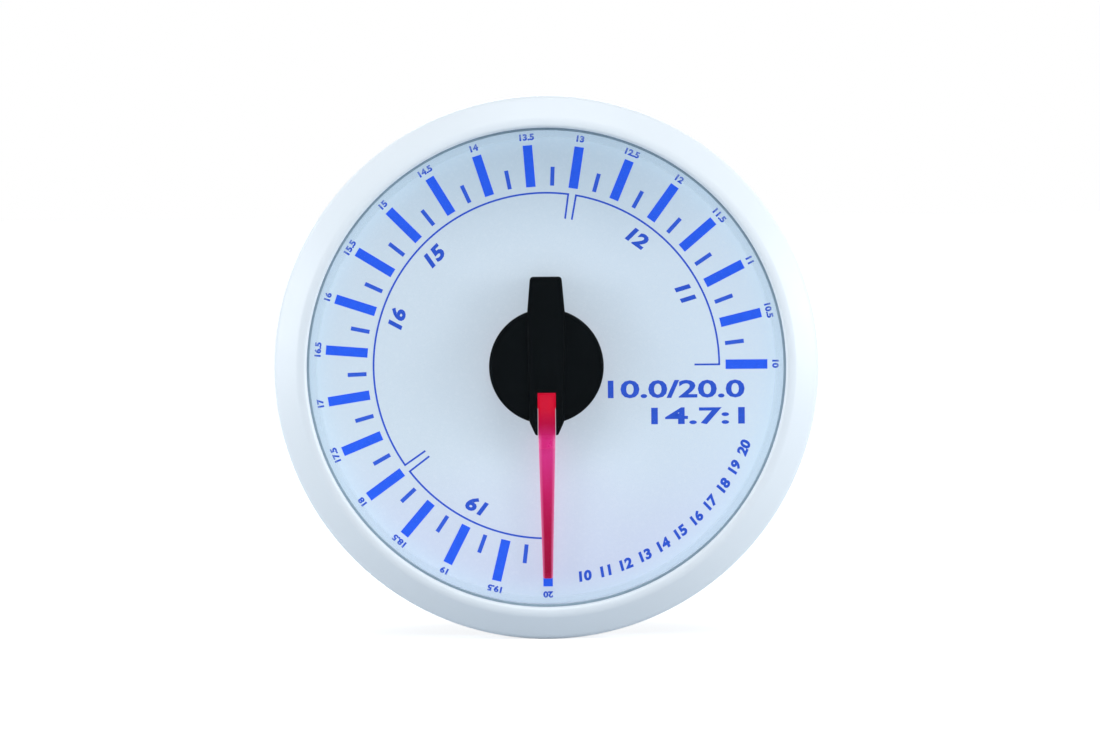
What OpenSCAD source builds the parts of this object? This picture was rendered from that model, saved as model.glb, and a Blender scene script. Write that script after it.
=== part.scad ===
// Air fuel ratio gauge for a 52 mm panel hole, in millimetres.
// Every piece is drawn face-on: x to the right, y down, z from the panel's front surface to the back.
// face_on() then stands it up, so that the dial looks along -Y and 12 o'clock is +Z.

/* [Case] */
// Diameter of the barrel that passes through the panel hole
body_d = 52; // [51:0.5:54]
// Wall of the barrel
body_wall = 1.5; // [1.2:0.1:1.8]
// How far the flange reaches past the barrel
flange_w = 2.3; // [2.1:0.1:4]
// Thickness of the flange that rests on the panel
flange_t = 1.6; // [1.2:0.1:2]
// Height of the rim that stands in front of the flange
rim_h = 4.9; // [4:0.1:5.4]
// Wall of the rim
rim_wall = 0.9; // [0.7:0.1:1.2]
// Thickness of the back cover
cover_t = 2.5; // [2:0.1:4]
// Diameter of the two mounting studs
stud_d = 4; // [3:0.5:5]
// Distance of the studs from the barrel's inner wall
stud_inset = 7.3; // [6.5:0.1:8.5]
// How far the studs stand out behind the cover
stud_reach = 14; // [10:1:24]

/* [Bezel] */
// Wall of the bezel's skirt round the rim
skirt_wall = 1.6; // [1.4:0.1:1.8]
// How far the bezel's lip reaches over the lens
lip_w = 0.9; // [0.5:0.1:1.4]
// Thickness of that lip
lip_t = 1.2; // [1:0.1:1.6]
// Rounding of the lip's inner edge
lip_round = 0.6; // [0.3:0.1:0.9]
// Slope of the bezel's face, in degrees
face_slope = 32; // [20:1:40]
// Rounding of the bezel's outer edge
edge_round = 0.5; // [0.3:0.1:1]

/* [Lens and dial] */
// Thickness of the lens
lens_t = 1.8; // [1.4:0.1:2.2]
// Room between the pointer cap and the lens
lens_room = 1.4; // [0.8:0.1:3]
// Thickness of the lens gasket
gasket_t = 0.4; // [0.2:0.1:0.6]
// Thickness of the printed dial
dial_t = 0.6; // [0.4:0.1:1]
// Diameter of the dial's centre hole
dial_bore_d = 6.4; // [6:0.1:7]
// Thickness of the light guide behind the dial
guide_t = 2; // [1.5:0.1:2.5]

/* [Pointer] */
// Gap between the pointer's tip and the edge of the window
pointer_tip_gap = 2.8; // [2:0.1:6]
// Width of the pointer where it leaves the cap
pointer_root_w = 1.9; // [1.6:0.1:2.1]
// Width of the pointer at its tip
pointer_tip_w = 1.1; // [0.6:0.1:1.4]
// Thickness of the pointer's blade
pointer_t = 1.2; // [0.8:0.1:1.4]
// Gap between the dial and the pointer
pointer_gap = 1; // [0.8:0.1:1.4]
// Diameter of the pointer cap
cap_d = 12.7; // [12:0.1:13.5]
// Height of the pointer cap
cap_h = 3.8; // [3.4:0.1:4.2]
// Wall of the pointer cap
cap_wall = 0.7; // [0.5:0.1:0.8]
// Distance from the axis to the end of the cap's tail
tail_len = 9.9; // [9:0.1:12]
// Width of the tail's end
tail_w = 3.5; // [3.2:0.1:4.5]

/* [Movement] */
// Diameter of the pointer shaft
shaft_d = 1.5; // [1.2:0.1:1.8]
// Gear module
gear_module = 0.16; // [0.15:0.005:0.165]
// Teeth on both pinions
pinion_teeth = 8; // [8:1:9]
// Teeth on the intermediate wheel
wheel_teeth = 96; // [90:1:96]
// Teeth on the output wheel
output_teeth = 120; // [116:1:120]
// Diameter of the rotor magnet
magnet_d = 5; // [4.6:0.1:5.2]
// How far the pointer turns, in degrees
sweep = 270; // [240:1:280]
// Wall of the motor case
motor_wall = 1; // [0.8:0.1:1.2]

/* [Boards and sockets] */
// Thickness of both circuit boards
board_t = 1.6; // [1:0.1:1.8]
// Height of the light box between the light guide and the display board
box_h = 5.2; // [5:0.1:6]
// Room between the movement and the parts on the connector board
rear_room = 1.7; // [0.5:0.1:6]
// Number of LEDs behind the scale
dial_led_count = 9; // [3:3:9]
// Distance between socket pins
pin_pitch = 2.5; // [2.4:0.05:2.6]
// Pins in the power socket
power_pin_count = 4; // [3:1:4]
// Pins in the sensor socket
sensor_pin_count = 3; // [2:1:3]
// How far the sockets stand out behind the cover
socket_reach = 4; // [3.5:0.5:8]

/* [Hidden] */
$fn = 96;
arc_steps = 6;

// Clearances
overrun = 0.5;
seat_gap = 0.1;
snap_gap = 0.15;
tray_gap = 0.2;
part_gap = 0.3;
running_gap = 0.04;
hole_gap = 0.05;

// Case
barrel_r = body_d / 2;
bore_r = barrel_r - body_wall;
tray_r = bore_r - tray_gap;
flange_r = barrel_r + flange_w;
skirt_r = flange_r + seat_gap;
bezel_r = skirt_r + skirt_wall;
rim_in_r = flange_r - rim_wall;
stack_r = rim_in_r - seat_gap;
window_r = stack_r - lip_w;
lug_h = 0.45;
lug_w = 0.8;
lug_angle = 24;
lug_count = 4;
lug_back = 1.6;
foot_gap = 0.4;
foot_chamfer = 0.3;
face_land = 0.3;
shoulder_gap = 0.2;

// Depths, counted from the panel's front surface: first the dial and what lies in front of it
z_guide = -flange_t;
z_dial = z_guide - dial_t;
z_blade_back = z_dial - pointer_gap;
z_blade = z_blade_back - pointer_t;
cap_rim_gap = 0.7;
z_cap_rim = z_dial - cap_rim_gap;
z_cap = z_cap_rim - cap_h;
lens_step = 0.5;
z_lens_back = z_cap - lens_room;
z_lens = z_lens_back + lens_step - lens_t;
z_lip = z_lens - gasket_t;
z_bezel = z_lip - lip_t;
z_rim = -flange_t - rim_h;

// Then what lies behind the dial
gear_t = 1;
wheel_t = 0.8;
pinion_t = 1.4;
gear_gap = 0.2;
hub_room = 0.4;
wheel_lift = 0.6;
stop_h = 0.8;
magnet_t = 3;
coil_t = 3.5;
capacitor_h = 5.6;
standoff_h = 5.9;
z_box = z_guide + guide_t;
z_board = z_box + box_h;
z_motor = z_board + board_t;
z_motor_in = z_motor + motor_wall;
z_output = z_motor_in + stop_h + gear_gap;
z_wheel = z_output + gear_t + wheel_lift;
z_rotor = z_wheel - gear_gap;
z_magnet = z_rotor + pinion_t + gear_gap;
z_coil = z_wheel + wheel_t + hub_room;
z_split = z_coil;
z_motor_out = z_coil + coil_t + gear_gap;
z_motor_back = z_motor_out + motor_wall;
z_connector = z_motor_back + rear_room + capacitor_h;
z_connector_back = z_connector + board_t;
z_cover = z_connector_back + standoff_h;
z_back = z_cover + cover_t;

// Lens
lens_bevel_w = 0.95;
lens_edge_gap = 0.15;
lens_pad_r = window_r - lens_edge_gap - lens_bevel_w;

// Posts that carry the display board and take the cover's screws
post_angles = [150, 270, 350];
post_r = 2.4;
post_inset = 2.9;
post_at = bore_r - post_inset;
post_web = 2.4;
pilot_depth = 9;

// Screws, all of one kind but for their length
screw_r = 1;
screw_head_r = 1.9;
screw_head_h = 1.2;
screw_len = 9;
head_room = 0.3;

// Light box
box_wall = 1.2;
box_boss_r = 3;
box_tab_t = 1.5;
chimney_r = 6;
chimney_wall = 1;
web_t = 1;
guide_bore_gap = 0.2;

// Pointer
pointer_len = window_r - pointer_tip_gap;
cap_r = cap_d / 2;
hub_gap = 0.85;
hub_r = cap_r - cap_wall - hub_gap;
boss_r = 2.3;
boss_reach = 2.6;
root_rise = 1.4;
root_slope_len = 1.6;
blade_tip_t_share = 0.6;
ridge_h = 0.4;
tail_root_w = 4.2;
tail_root_share = 0.92;
slot_start = 2.9;
slot_gap = 0.06;
nose_w = 3.8;
nose_lip = 0.24;
nose_end_w = pointer_root_w + 2 * slot_gap + 2 * nose_lip;
nose_len = 7.6;
nose_root_share = 0.97;
cap_seat_r = 2.7;
weight_len = 1.1;
weight_t = 0.9;
shaft_front_reach = 1.6;

// Gears
pressure_angle = 20;
gear_shift = 0.53;
tooth_addendum = 0.8;
tooth_dedendum = 1.25;
backlash = 0.03;
pinion_flank_steps = 5;
wheel_flank_steps = 1;
output_mesh = gear_module * (output_teeth + pinion_teeth) / 2;
wheel_mesh = gear_module * (wheel_teeth + pinion_teeth) / 2;
output_tip_r = tip_radius(output_teeth, -gear_shift);
wheel_tip_r = tip_radius(wheel_teeth, -gear_shift);
axle_r = 0.3;
peg_r = 1.2;
rotor_gap = 0.66;
rotor_drop = output_tip_r + peg_r + rotor_gap;
mesh_y = (pow(output_mesh, 2) - pow(wheel_mesh, 2) + pow(rotor_drop, 2)) / (2 * rotor_drop);
mesh_x = sqrt(pow(output_mesh, 2) - pow(mesh_y, 2));
wheel_pos = [mesh_x, mesh_y];
rotor_pos = [0, rotor_drop];
output_hub_gap = 0.62;
output_hub_r = output_mesh - wheel_tip_r - output_hub_gap;
output_hub_t = 1;
wheel_hub_r = 1.3;
wheel_window_r = 1.5;
wheel_window_share = 0.6;
wheel_window_count = 5;
stop_at = 5;
stop_r = 1;
stop_margin_angle = 1;
stop_angle = 200;
lug_in_r = 3.6;
lug_out_r = 6.4;
bearing_r = 2;
bearing_len = 2.7;
front_boss_r = 2.6;
front_boss_reach = 2.6;
sleeve_r = 1.1;
pin_bite = 0.6;

// Stator, coils and motor case
air_gap = 0.4;
stator_t = 1.2;
stator_inset = 11.5;
leg_end = tray_r - stator_inset;
pole_w = 1;
leg_w = 2;
side_w = 1.3;
yoke_drop = 5.2;
z_stator = z_coil + (coil_t - stator_t) / 2;
bobbin_wall = 0.3;
bobbin_flange_t = 0.3;
bobbin_flange_w = 4.6;
winding_inset = 0.2;
motor_fit = 0.3;
motor_floor = 6.5;
motor_corner_r = 2;
rib_w = 1.6;
rib_bite = 0.6;
rib_share = 0.55;
terminal_w = 0.5;
terminal_drop = 5.9;
terminal_y = rotor_drop + terminal_drop;
terminal_shares = [-0.74, -0.35, 0.35, 0.74];
solder_len = 0.6;

// Display board
board_hole_gap = 0.3;
led_angle = 10;
led_inset = 3.8;
led_at = tray_r - led_inset;
led_size = [2.8, 3.2, 1.2];
pointer_led_count = 4;
pointer_led_gap = 1.5;
pointer_led_at = chimney_r - pointer_led_gap;
pointer_led_size = [1.25, 2, 0.8];
resistor_gap = 5;
resistor_at = led_at - resistor_gap;
resistor_size = [0.8, 1.6, 0.45];
movement_r = output_tip_r + motor_fit + motor_wall;
chip_at = (movement_r + tray_r) / 2;
chip_angle = 225;
chip_size = [6, 6, 1.4];
chip_pin_pitch = 0.8;
chip_pins_a_side_count = 6;
chip_pin_w = 0.3;
chip_pin_len = 0.9;
chip_pin_t = 0.2;
crystal_angle = 205;
crystal_size = [5, 2.5, 1];
regulator_angle = 315;
regulator_size = [3.5, 6.5, 1.6];
regulator_tab = [1.6, 3, 0.3];
regulator_leg_w = 0.7;

// Connector board
standoff_count = 4;
standoff_angle = 45;
standoff_r = 2;
standoff_inset = 6.3;
standoff_at = tray_r - standoff_inset;
connector_screw_len = 6.5;
capacitor_r = 3.15;
capacitor_foot = 0.3;
capacitor_neck = 0.9;
capacitor_groove = 0.3;
capacitor_x = 8;
capacitor_y = 2;
diode_pos = [0, 12.4];
diode_size = [4.6, 2.6, 2.2];
link_count = 4;
link_pitch = 2.54;
link_w = 0.64;
link_gap = 0.4;
link_y = -movement_r - link_gap - link_pitch / 2;
link_strip_t = 2.5;
pin_hole_gap = 0.06;

// Sockets
socket_pin_w = 0.64;
socket_wall = 1.2;
socket_inner_h = 5.6;
socket_side = 1.55;
socket_floor_t = 1.8;
socket_pin_len = 5.6;
power_y = 8.5;
sensor_y = -8;
key_w = 2.4;
key_len = 5;
latch_w = 3;
latch_h = 0.8;
latch_len = 1.6;

// Cover and studs
cover_chamfer = 0.5;
spigot_len = 2;
spigot_wall = 1.4;
stud_boss_r = 4.2;
stud_boss_h = 1;
stud_head_r = 3.6;
stud_at = tray_r - stud_inset;
stud_head_h = 1.6;
stud_shoulder = 0.4;
stud_shoulder_r = stud_d / 2 + stud_shoulder;
stud_chamfer = 0.4;

// Turns what is drawn face-on into the upright frame
module face_on() {
    rotate([-90, 0, 0]) children();
}

// Extrudes a flat outline from one depth to another
module slab(z0, z1) {
    translate([0, 0, z0]) linear_extrude(z1 - z0) children();
}

// A round bar or, with an inner radius, a tube between two depths
module tube(z0, z1, r_out, r_in = 0) {
    difference() {
        translate([0, 0, z0]) cylinder(h = z1 - z0, r = r_out);
        if (r_in > 0) {
            translate([0, 0, z0 - overrun]) cylinder(h = z1 - z0 + 2 * overrun, r = r_in);
        }
    }
}

// A block centred on x and y whose front face is at z0
module block(size, z0) {
    translate([-size[0] / 2, -size[1] / 2, z0]) cube(size);
}

// Repeats a piece round the axis, at a radius
module around(count, radius, first = 0) {
    for (i = [0:count - 1]) {
        rotate([0, 0, first + i * 360 / count]) translate([radius, 0, 0]) children();
    }
}

// Repeats a piece at each post
module at_posts() {
    for (angle = post_angles) {
        rotate([0, 0, angle]) translate([post_at, 0, 0]) children();
    }
}

// Repeats a piece at both studs
module at_studs() {
    for (side = [-1, 1]) {
        translate([side * stud_at, 0, 0]) children();
    }
}

// Points of an arc from angle a0 to a1
function arc(centre, r, a0, a1) = [
    for (i = [0:arc_steps]) centre + r * [cos(a0 + (a1 - a0) * i / arc_steps),
        sin(a0 + (a1 - a0) * i / arc_steps)]
];

// A rectangle from one corner to another, with round corners
module rounded(low, high, r) {
    polygon(concat(
        arc([low[0] + r, low[1] + r], r, 180, 270),
        arc([high[0] - r, low[1] + r], r, 270, 360),
        arc([high[0] - r, high[1] - r], r, 0, 90),
        arc([low[0] + r, high[1] - r], r, 90, 180)));
}

// A pan-head screw along the axis, with its head towards the front
module screw(z_seat, length) {
    tube(z_seat - screw_head_h, z_seat, screw_head_r);
    tube(z_seat, z_seat + length, screw_r);
}

// Front stack

module bezel() {
    corner_r = bezel_r - edge_round;
    land_r = window_r + lip_round + face_land;
    corner_z = z_bezel + ((corner_r - land_r) * sin(face_slope) + edge_round) / cos(face_slope);
    shoulder = z_rim - shoulder_gap;
    groove_r = flange_r + lug_h + snap_gap;
    lug_front = -lug_back - lug_w;
    color("white") face_on() rotate_extrude() polygon(concat(
        [[window_r, z_lip]],
        arc([window_r + lip_round, z_bezel + lip_round], lip_round, 180, 270),
        [[land_r, z_bezel]],
        arc([corner_r, corner_z], edge_round, face_slope - 90, 0),
        [
            [bezel_r, -foot_gap - foot_chamfer],
            [bezel_r - foot_chamfer, -foot_gap],
            [skirt_r, -foot_gap],
            [skirt_r, -lug_back + snap_gap],
            [groove_r, -lug_back + snap_gap],
            [groove_r, lug_front - snap_gap],
            [skirt_r, lug_front - snap_gap],
            [skirt_r, shoulder],
            [rim_in_r, shoulder],
            [rim_in_r, z_lip]
        ]));
}

module lens_gasket() {
    color([0.35, 0.38, 0.4]) face_on() tube(z_lip, z_lens, stack_r, window_r - lens_edge_gap);
}

module lens() {
    color([0.85, 0.92, 0.97, 0.4]) face_on() rotate_extrude() polygon([
        [0, z_lens - lens_step],
        [lens_pad_r, z_lens - lens_step],
        [lens_pad_r + lens_bevel_w, z_lens],
        [stack_r, z_lens],
        [stack_r, z_lens_back],
        [0, z_lens_back]
    ]);
}

module spacer_ring() {
    color("white") face_on() tube(z_lens_back, z_dial, stack_r, window_r);
}

module dial() {
    color([0.79, 0.87, 0.93]) face_on() tube(z_dial, z_guide, stack_r, dial_bore_d / 2);
}

module light_guide() {
    color([0.9, 0.95, 1, 0.6]) face_on()
        tube(z_guide, z_box, tray_r, dial_bore_d / 2 + guide_bore_gap);
}

module light_box() {
    seat = z_board - box_tab_t;
    color("white") face_on() difference() {
        slab(z_box, z_board) intersection() {
            circle(tray_r);
            union() {
                difference() {
                    circle(tray_r);
                    circle(tray_r - box_wall);
                }
                difference() {
                    union() {
                        circle(chimney_r + chimney_wall);
                        at_posts() translate([chimney_r - post_at, -web_t / 2])
                            square([post_at - chimney_r, web_t]);
                    }
                    circle(chimney_r);
                }
                at_posts() circle(box_boss_r);
            }
        }
        at_posts() {
            tube(z_box - overrun, z_board + overrun, screw_r + hole_gap);
            tube(z_box - overrun, seat, screw_head_r + head_room);
        }
    }
}

// Pointer

// Outline of the cap's tail, ridge and nose, drawn in by the given amount
function spine(inset) = [
    [-tail_w / 2 + inset, -tail_len + inset],
    [tail_w / 2 - inset, -tail_len + inset],
    [tail_root_w / 2 - inset, -cap_r * tail_root_share],
    [nose_w / 2 - inset, cap_r * nose_root_share],
    [nose_end_w / 2 - inset, nose_len - inset],
    [-nose_end_w / 2 + inset, nose_len - inset],
    [-nose_w / 2 + inset, cap_r * nose_root_share],
    [-tail_root_w / 2 + inset, -cap_r * tail_root_share]
];

module pointer() {
    half_root = pointer_root_w / 2;
    half_tip = pointer_tip_w / 2;
    root_start = slot_start + slot_gap;
    color([0.86, 0.05, 0.2, 0.85]) face_on() difference() {
        union() {
            tube(z_blade, z_blade_back, hub_r);
            tube(z_blade, z_blade + boss_reach + pointer_t, boss_r);
            intersection() {
                slab(z_blade - root_rise, z_blade_back) polygon([
                    [-half_root, 0],
                    [half_root, 0],
                    [half_root, nose_len],
                    [half_tip, pointer_len],
                    [-half_tip, pointer_len],
                    [-half_root, nose_len]
                ]);
                rotate([0, 90, 0]) translate([0, 0, -half_root]) linear_extrude(2 * half_root)
                    polygon([
                        [-z_blade_back, 0],
                        [-z_blade, 0],
                        [-z_blade, root_start],
                        [-z_blade + root_rise, root_start],
                        [-z_blade + root_rise, nose_len],
                        [-z_blade, nose_len + root_slope_len],
                        [-z_blade_back + pointer_t * blade_tip_t_share, pointer_len],
                        [-z_blade_back, pointer_len]
                    ]);
            }
        }
        tube(z_blade - shaft_front_reach - overrun, z_blade + boss_reach + pointer_t + overrun,
            shaft_d / 2);
    }
}

module pointer_cap() {
    face = z_cap + ridge_h;
    color([0.07, 0.08, 0.09]) face_on() difference() {
        union() {
            difference() {
                union() {
                    tube(face, z_cap_rim, cap_r);
                    slab(z_cap, z_cap_rim) polygon(spine(0));
                }
                tube(face + cap_wall, z_cap_rim + overrun, cap_r - cap_wall);
                slab(z_cap + cap_wall, z_cap_rim + overrun) polygon(spine(cap_wall));
            }
            tube(z_cap + cap_wall / 2, z_blade, cap_seat_r);
        }
        tube(z_blade - shaft_front_reach, z_cap_rim + overrun, shaft_d / 2 + hole_gap);
        slab(z_cap - overrun, z_cap_rim + overrun)
            translate([-pointer_root_w / 2 - slot_gap, slot_start])
            square([pointer_root_w + 2 * slot_gap, nose_len]);
    }
}

module balance_weight() {
    half = tail_w / 2 - cap_wall - hole_gap;
    color([0.72, 0.6, 0.3]) face_on()
        translate([-half, -tail_len + cap_wall + hole_gap, z_cap + cap_wall])
        cube([2 * half, weight_len, weight_t]);
}

module pointer_shaft() {
    color("silver") face_on()
        tube(z_blade - shaft_front_reach + hole_gap, z_motor_out - hole_gap, shaft_d / 2);
}

// Gears

function inv(a) = tan(a) * 180 / PI - a;

// Radius of a gear's tooth tips; x is the profile shift
function tip_radius(z, x) = gear_module * (z / 2 + tooth_addendum + x);

// Half the angle that a tooth spans at radius r, in degrees
function half_tooth(z, x, r) =
    let(
        pitch_r = gear_module * z / 2,
        base_r = pitch_r * cos(pressure_angle),
        turn = acos(min(1, base_r / max(r, base_r)))
    )
    90 / z + (2 * x * tan(pressure_angle) / z) * 180 / PI + inv(pressure_angle) - inv(turn)
        - backlash / pitch_r * 45 / PI;

function on_circle(r, a) = r * [cos(a), sin(a)];

// Outline of a gear with a tooth on the +x axis
function gear_outline(z, x, steps) =
    let(
        pitch_r = gear_module * z / 2,
        root_r = pitch_r - gear_module * (tooth_dedendum - x),
        tip_r = tip_radius(z, x),
        base_r = max(root_r, pitch_r * cos(pressure_angle)),
        radii = [for (i = [0:steps]) base_r + (tip_r - base_r) * i / steps],
        foot = root_r < base_r ? [root_r] : [],
        up = concat(foot, radii)
    )
    [
        for (tooth = [0:z - 1])
            let(middle = tooth * 360 / z)
            for (side = [-1, 1], i = [0:len(up) - 1])
                let(r = side < 0 ? up[i] : up[len(up) - 1 - i])
                on_circle(r, middle + side * half_tooth(z, x, r))
    ];

// A toothed disc between two depths
module gear(z, x, steps, z0, z1) {
    slab(z0, z1) polygon(gear_outline(z, x, steps));
}

function heading(p) = atan2(p[1], p[0]);

module output_wheel() {
    stop_span = 2 * asin(stop_r / stop_at);
    lug_span = 360 - sweep - stop_span - 2 * stop_margin_angle;
    pitch = 360 / output_teeth;
    color([0.93, 0.93, 0.88]) face_on() difference() {
        union() {
            rotate([0, 0, heading(wheel_pos) + pitch / 2])
                gear(output_teeth, -gear_shift, wheel_flank_steps, z_output, z_output + gear_t);
            tube(z_output, z_output + gear_t + output_hub_t, output_hub_r);
            rotate([0, 0, stop_angle + stop_span / 2 + stop_margin_angle])
                translate([0, 0, z_output - stop_h + gear_gap])
                rotate_extrude(angle = lug_span) translate([lug_in_r, 0])
                square([lug_out_r - lug_in_r, stop_h]);
        }
        tube(z_output - stop_h - overrun, z_output + gear_t + output_hub_t + overrun, shaft_d / 2);
    }
}

module intermediate_wheel() {
    to_output = heading(-wheel_pos);
    to_rotor = heading(rotor_pos - wheel_pos);
    pinion_front = z_output - gear_gap;
    wheel_back = z_wheel + wheel_t;
    color([0.93, 0.93, 0.88]) face_on() translate(concat(wheel_pos, [0])) difference() {
        union() {
            rotate([0, 0, to_output])
                gear(pinion_teeth, gear_shift, pinion_flank_steps, pinion_front, z_wheel);
            rotate([0, 0, to_rotor + 180 / wheel_teeth])
                gear(wheel_teeth, -gear_shift, wheel_flank_steps, z_wheel, wheel_back);
            tube(z_wheel, wheel_back + gear_gap, wheel_hub_r);
        }
        tube(pinion_front - overrun, wheel_back + gear_gap + overrun, axle_r + running_gap);
        around(wheel_window_count, wheel_tip_r * wheel_window_share)
            tube(z_wheel - overrun, wheel_back + overrun, wheel_window_r);
    }
}

module rotor_pinion() {
    to_wheel = heading(wheel_pos - rotor_pos);
    pinion_back = z_rotor + pinion_t;
    color([0.93, 0.93, 0.88]) face_on() translate(concat(rotor_pos, [0])) difference() {
        union() {
            rotate([0, 0, to_wheel])
                gear(pinion_teeth, gear_shift, pinion_flank_steps, z_rotor, pinion_back);
            tube(pinion_back, z_magnet + magnet_t, sleeve_r);
        }
        tube(z_rotor - overrun, z_magnet + magnet_t + overrun, axle_r + running_gap);
    }
}

module rotor_magnet() {
    color([0.25, 0.25, 0.27]) face_on() translate(concat(rotor_pos, [0]))
        tube(z_magnet, z_magnet + magnet_t, magnet_d / 2, sleeve_r);
}

// Motor

stator_side = leg_end + motor_fit;

// Outline of the motor case, grown by g from its inner wall
module motor_outline(g) {
    circle(output_tip_r + motor_fit + g);
    translate(wheel_pos) circle(wheel_tip_r + motor_fit + g);
    rounded([-stator_side - g, 0], [stator_side + g, rotor_drop + motor_floor + g],
        motor_corner_r + g);
}

// Ribs on the case's floor that clamp the stator's yoke
module stator_ribs(z0, z1) {
    for (side = [-1, 1]) {
        translate([side * leg_end * rib_share - rib_w / 2, rotor_drop + yoke_drop - rib_bite, z0])
            cube([rib_w, motor_floor - yoke_drop + rib_bite, z1 - z0]);
    }
}

module motor_front_case() {
    boss_back = z_output - gear_gap;
    stop_back = z_output - gear_gap / 2;
    color([0.12, 0.12, 0.13]) face_on() difference() {
        union() {
            difference() {
                slab(z_motor, z_split) motor_outline(motor_wall);
                slab(z_motor_in, z_split + overrun) motor_outline(0);
            }
            tube(z_motor - front_boss_reach, boss_back, front_boss_r);
            translate(concat(wheel_pos, [0])) tube(z_motor, boss_back - gear_gap, peg_r);
            translate(concat(rotor_pos, [0])) tube(z_motor, z_rotor - gear_gap, peg_r);
            rotate([0, 0, stop_angle]) translate([stop_at, 0, 0])
                tube(z_motor, stop_back, stop_r);
            stator_ribs(z_motor, z_stator);
        }
        tube(z_motor - front_boss_reach - overrun, z_output, shaft_d / 2 + running_gap);
        for (pos = [wheel_pos, rotor_pos]) {
            translate(concat(pos, [0])) tube(z_motor_in - pin_bite, z_split, axle_r);
        }
        slab(z_motor - overrun, z_motor_in + overrun) terminal_holes();
    }
}

module terminal_holes() {
    side = terminal_w + 2 * pin_hole_gap;
    for (share = terminal_shares) {
        translate([leg_end * share - side / 2, terminal_y - side / 2]) square(side);
    }
}

module motor_rear_case() {
    wheel_boss = z_wheel + wheel_t + 2 * gear_gap;
    rotor_boss = z_magnet + magnet_t + gear_gap;
    color([0.12, 0.12, 0.13]) face_on() difference() {
        union() {
            difference() {
                slab(z_split, z_motor_back) motor_outline(motor_wall);
                slab(z_split - overrun, z_motor_out) motor_outline(0);
            }
            tube(z_motor_out - bearing_len, z_motor_back, bearing_r);
            translate(concat(wheel_pos, [0])) tube(wheel_boss, z_motor_back, peg_r);
            translate(concat(rotor_pos, [0])) tube(rotor_boss, z_motor_back, peg_r);
            stator_ribs(z_stator + stator_t, z_motor_back);
        }
        tube(z_motor_out - bearing_len - overrun, z_motor_out, shaft_d / 2 + running_gap);
        for (pos = [wheel_pos, rotor_pos]) {
            translate(concat(pos, [0])) tube(z_split, z_motor_out + pin_bite, axle_r);
        }
    }
}

module axle_at(pos) {
    translate(concat(pos, [0])) tube(z_motor_in - pin_bite, z_motor_out + pin_bite, axle_r);
}

module wheel_axle() {
    color("silver") face_on() axle_at(wheel_pos);
}

module rotor_axle() {
    color("silver") face_on() axle_at(rotor_pos);
}

module stator_core() {
    bore = magnet_d / 2 + air_gap;
    floor_y = yoke_drop;
    color([0.6, 0.6, 0.62]) face_on() translate([0, rotor_drop, 0])
        slab(z_stator, z_stator + stator_t) difference() {
            union() {
                circle(bore + pole_w);
                translate([-leg_end, -leg_w / 2]) square([2 * leg_end, leg_w]);
                translate([-leg_end, floor_y - side_w]) square([2 * leg_end, side_w]);
                for (x = [-leg_end, leg_end - side_w]) {
                    translate([x, -leg_w / 2]) square([side_w, floor_y + leg_w / 2]);
                }
                translate([-leg_w / 2, 0]) square([leg_w, floor_y]);
            }
            circle(bore);
        }
}

// Where the bobbins lie along the stator's legs
bobbin_start = magnet_d / 2 + air_gap + pole_w + part_gap;
bobbin_end = leg_end - side_w - part_gap / 2;

// A box round each stator leg, from one distance to another, w across and t deep
module round_legs(x0, x1, w, t) {
    for (side = [0, 1]) {
        translate([0, rotor_drop, z_stator + stator_t / 2]) mirror([side, 0, 0]) difference() {
            translate([x0, -w / 2, -t / 2]) cube([x1 - x0, w, t]);
            translate([x0 - overrun, -leg_w / 2 - hole_gap, -stator_t / 2 - hole_gap])
                cube([x1 - x0 + 2 * overrun, leg_w + 2 * hole_gap, stator_t + 2 * hole_gap]);
        }
    }
}

bobbin_core_w = leg_w + 2 * bobbin_wall;
bobbin_core_t = stator_t + 2 * bobbin_wall;

module coil_bobbins() {
    color([0.85, 0.85, 0.8]) face_on() {
        round_legs(bobbin_start, bobbin_end, bobbin_core_w, bobbin_core_t);
        round_legs(bobbin_start, bobbin_start + bobbin_flange_t, bobbin_flange_w, coil_t);
        round_legs(bobbin_end - bobbin_flange_t, bobbin_end, bobbin_flange_w, coil_t);
    }
}

module coil_windings() {
    w = bobbin_flange_w - 2 * winding_inset;
    t = coil_t - 2 * winding_inset;
    color([0.72, 0.4, 0.2]) face_on() difference() {
        round_legs(bobbin_start + bobbin_flange_t, bobbin_end - bobbin_flange_t, w, t);
        for (side = [0, 1]) {
            translate([0, rotor_drop, z_stator + stator_t / 2]) mirror([side, 0, 0])
                translate([bobbin_start, -bobbin_core_w / 2, -bobbin_core_t / 2])
                cube([bobbin_end - bobbin_start, bobbin_core_w, bobbin_core_t]);
        }
    }
}

module motor_terminals() {
    color([0.8, 0.8, 0.78]) face_on()
        for (share = terminal_shares) {
            translate([leg_end * share, terminal_y, 0])
                block([terminal_w, terminal_w, z_split - z_board], z_board - solder_len);
        }
}

// Display board

module link_holes() {
    side = link_w + 2 * pin_hole_gap;
    for (i = [0:link_count - 1]) {
        translate([(i - (link_count - 1) / 2) * link_pitch - side / 2, link_y - side / 2])
            square(side);
    }
}

module display_board() {
    color([0.1, 0.35, 0.2]) face_on() slab(z_board, z_motor) difference() {
        circle(tray_r);
        circle(front_boss_r + board_hole_gap);
        at_posts() circle(screw_r + hole_gap);
        link_holes();
        terminal_holes();
    }
}

module dial_leds() {
    color([0.95, 0.95, 0.8]) face_on()
        around(dial_led_count, led_at, led_angle) block(led_size, z_board - led_size[2]);
}

module pointer_leds() {
    color([0.95, 0.8, 0.8]) face_on()
        around(pointer_led_count, pointer_led_at, led_angle)
        block(pointer_led_size, z_board - pointer_led_size[2]);
}

module led_resistors() {
    color([0.15, 0.15, 0.17]) face_on()
        around(dial_led_count, resistor_at, led_angle)
        block(resistor_size, z_board - resistor_size[2]);
}

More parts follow.
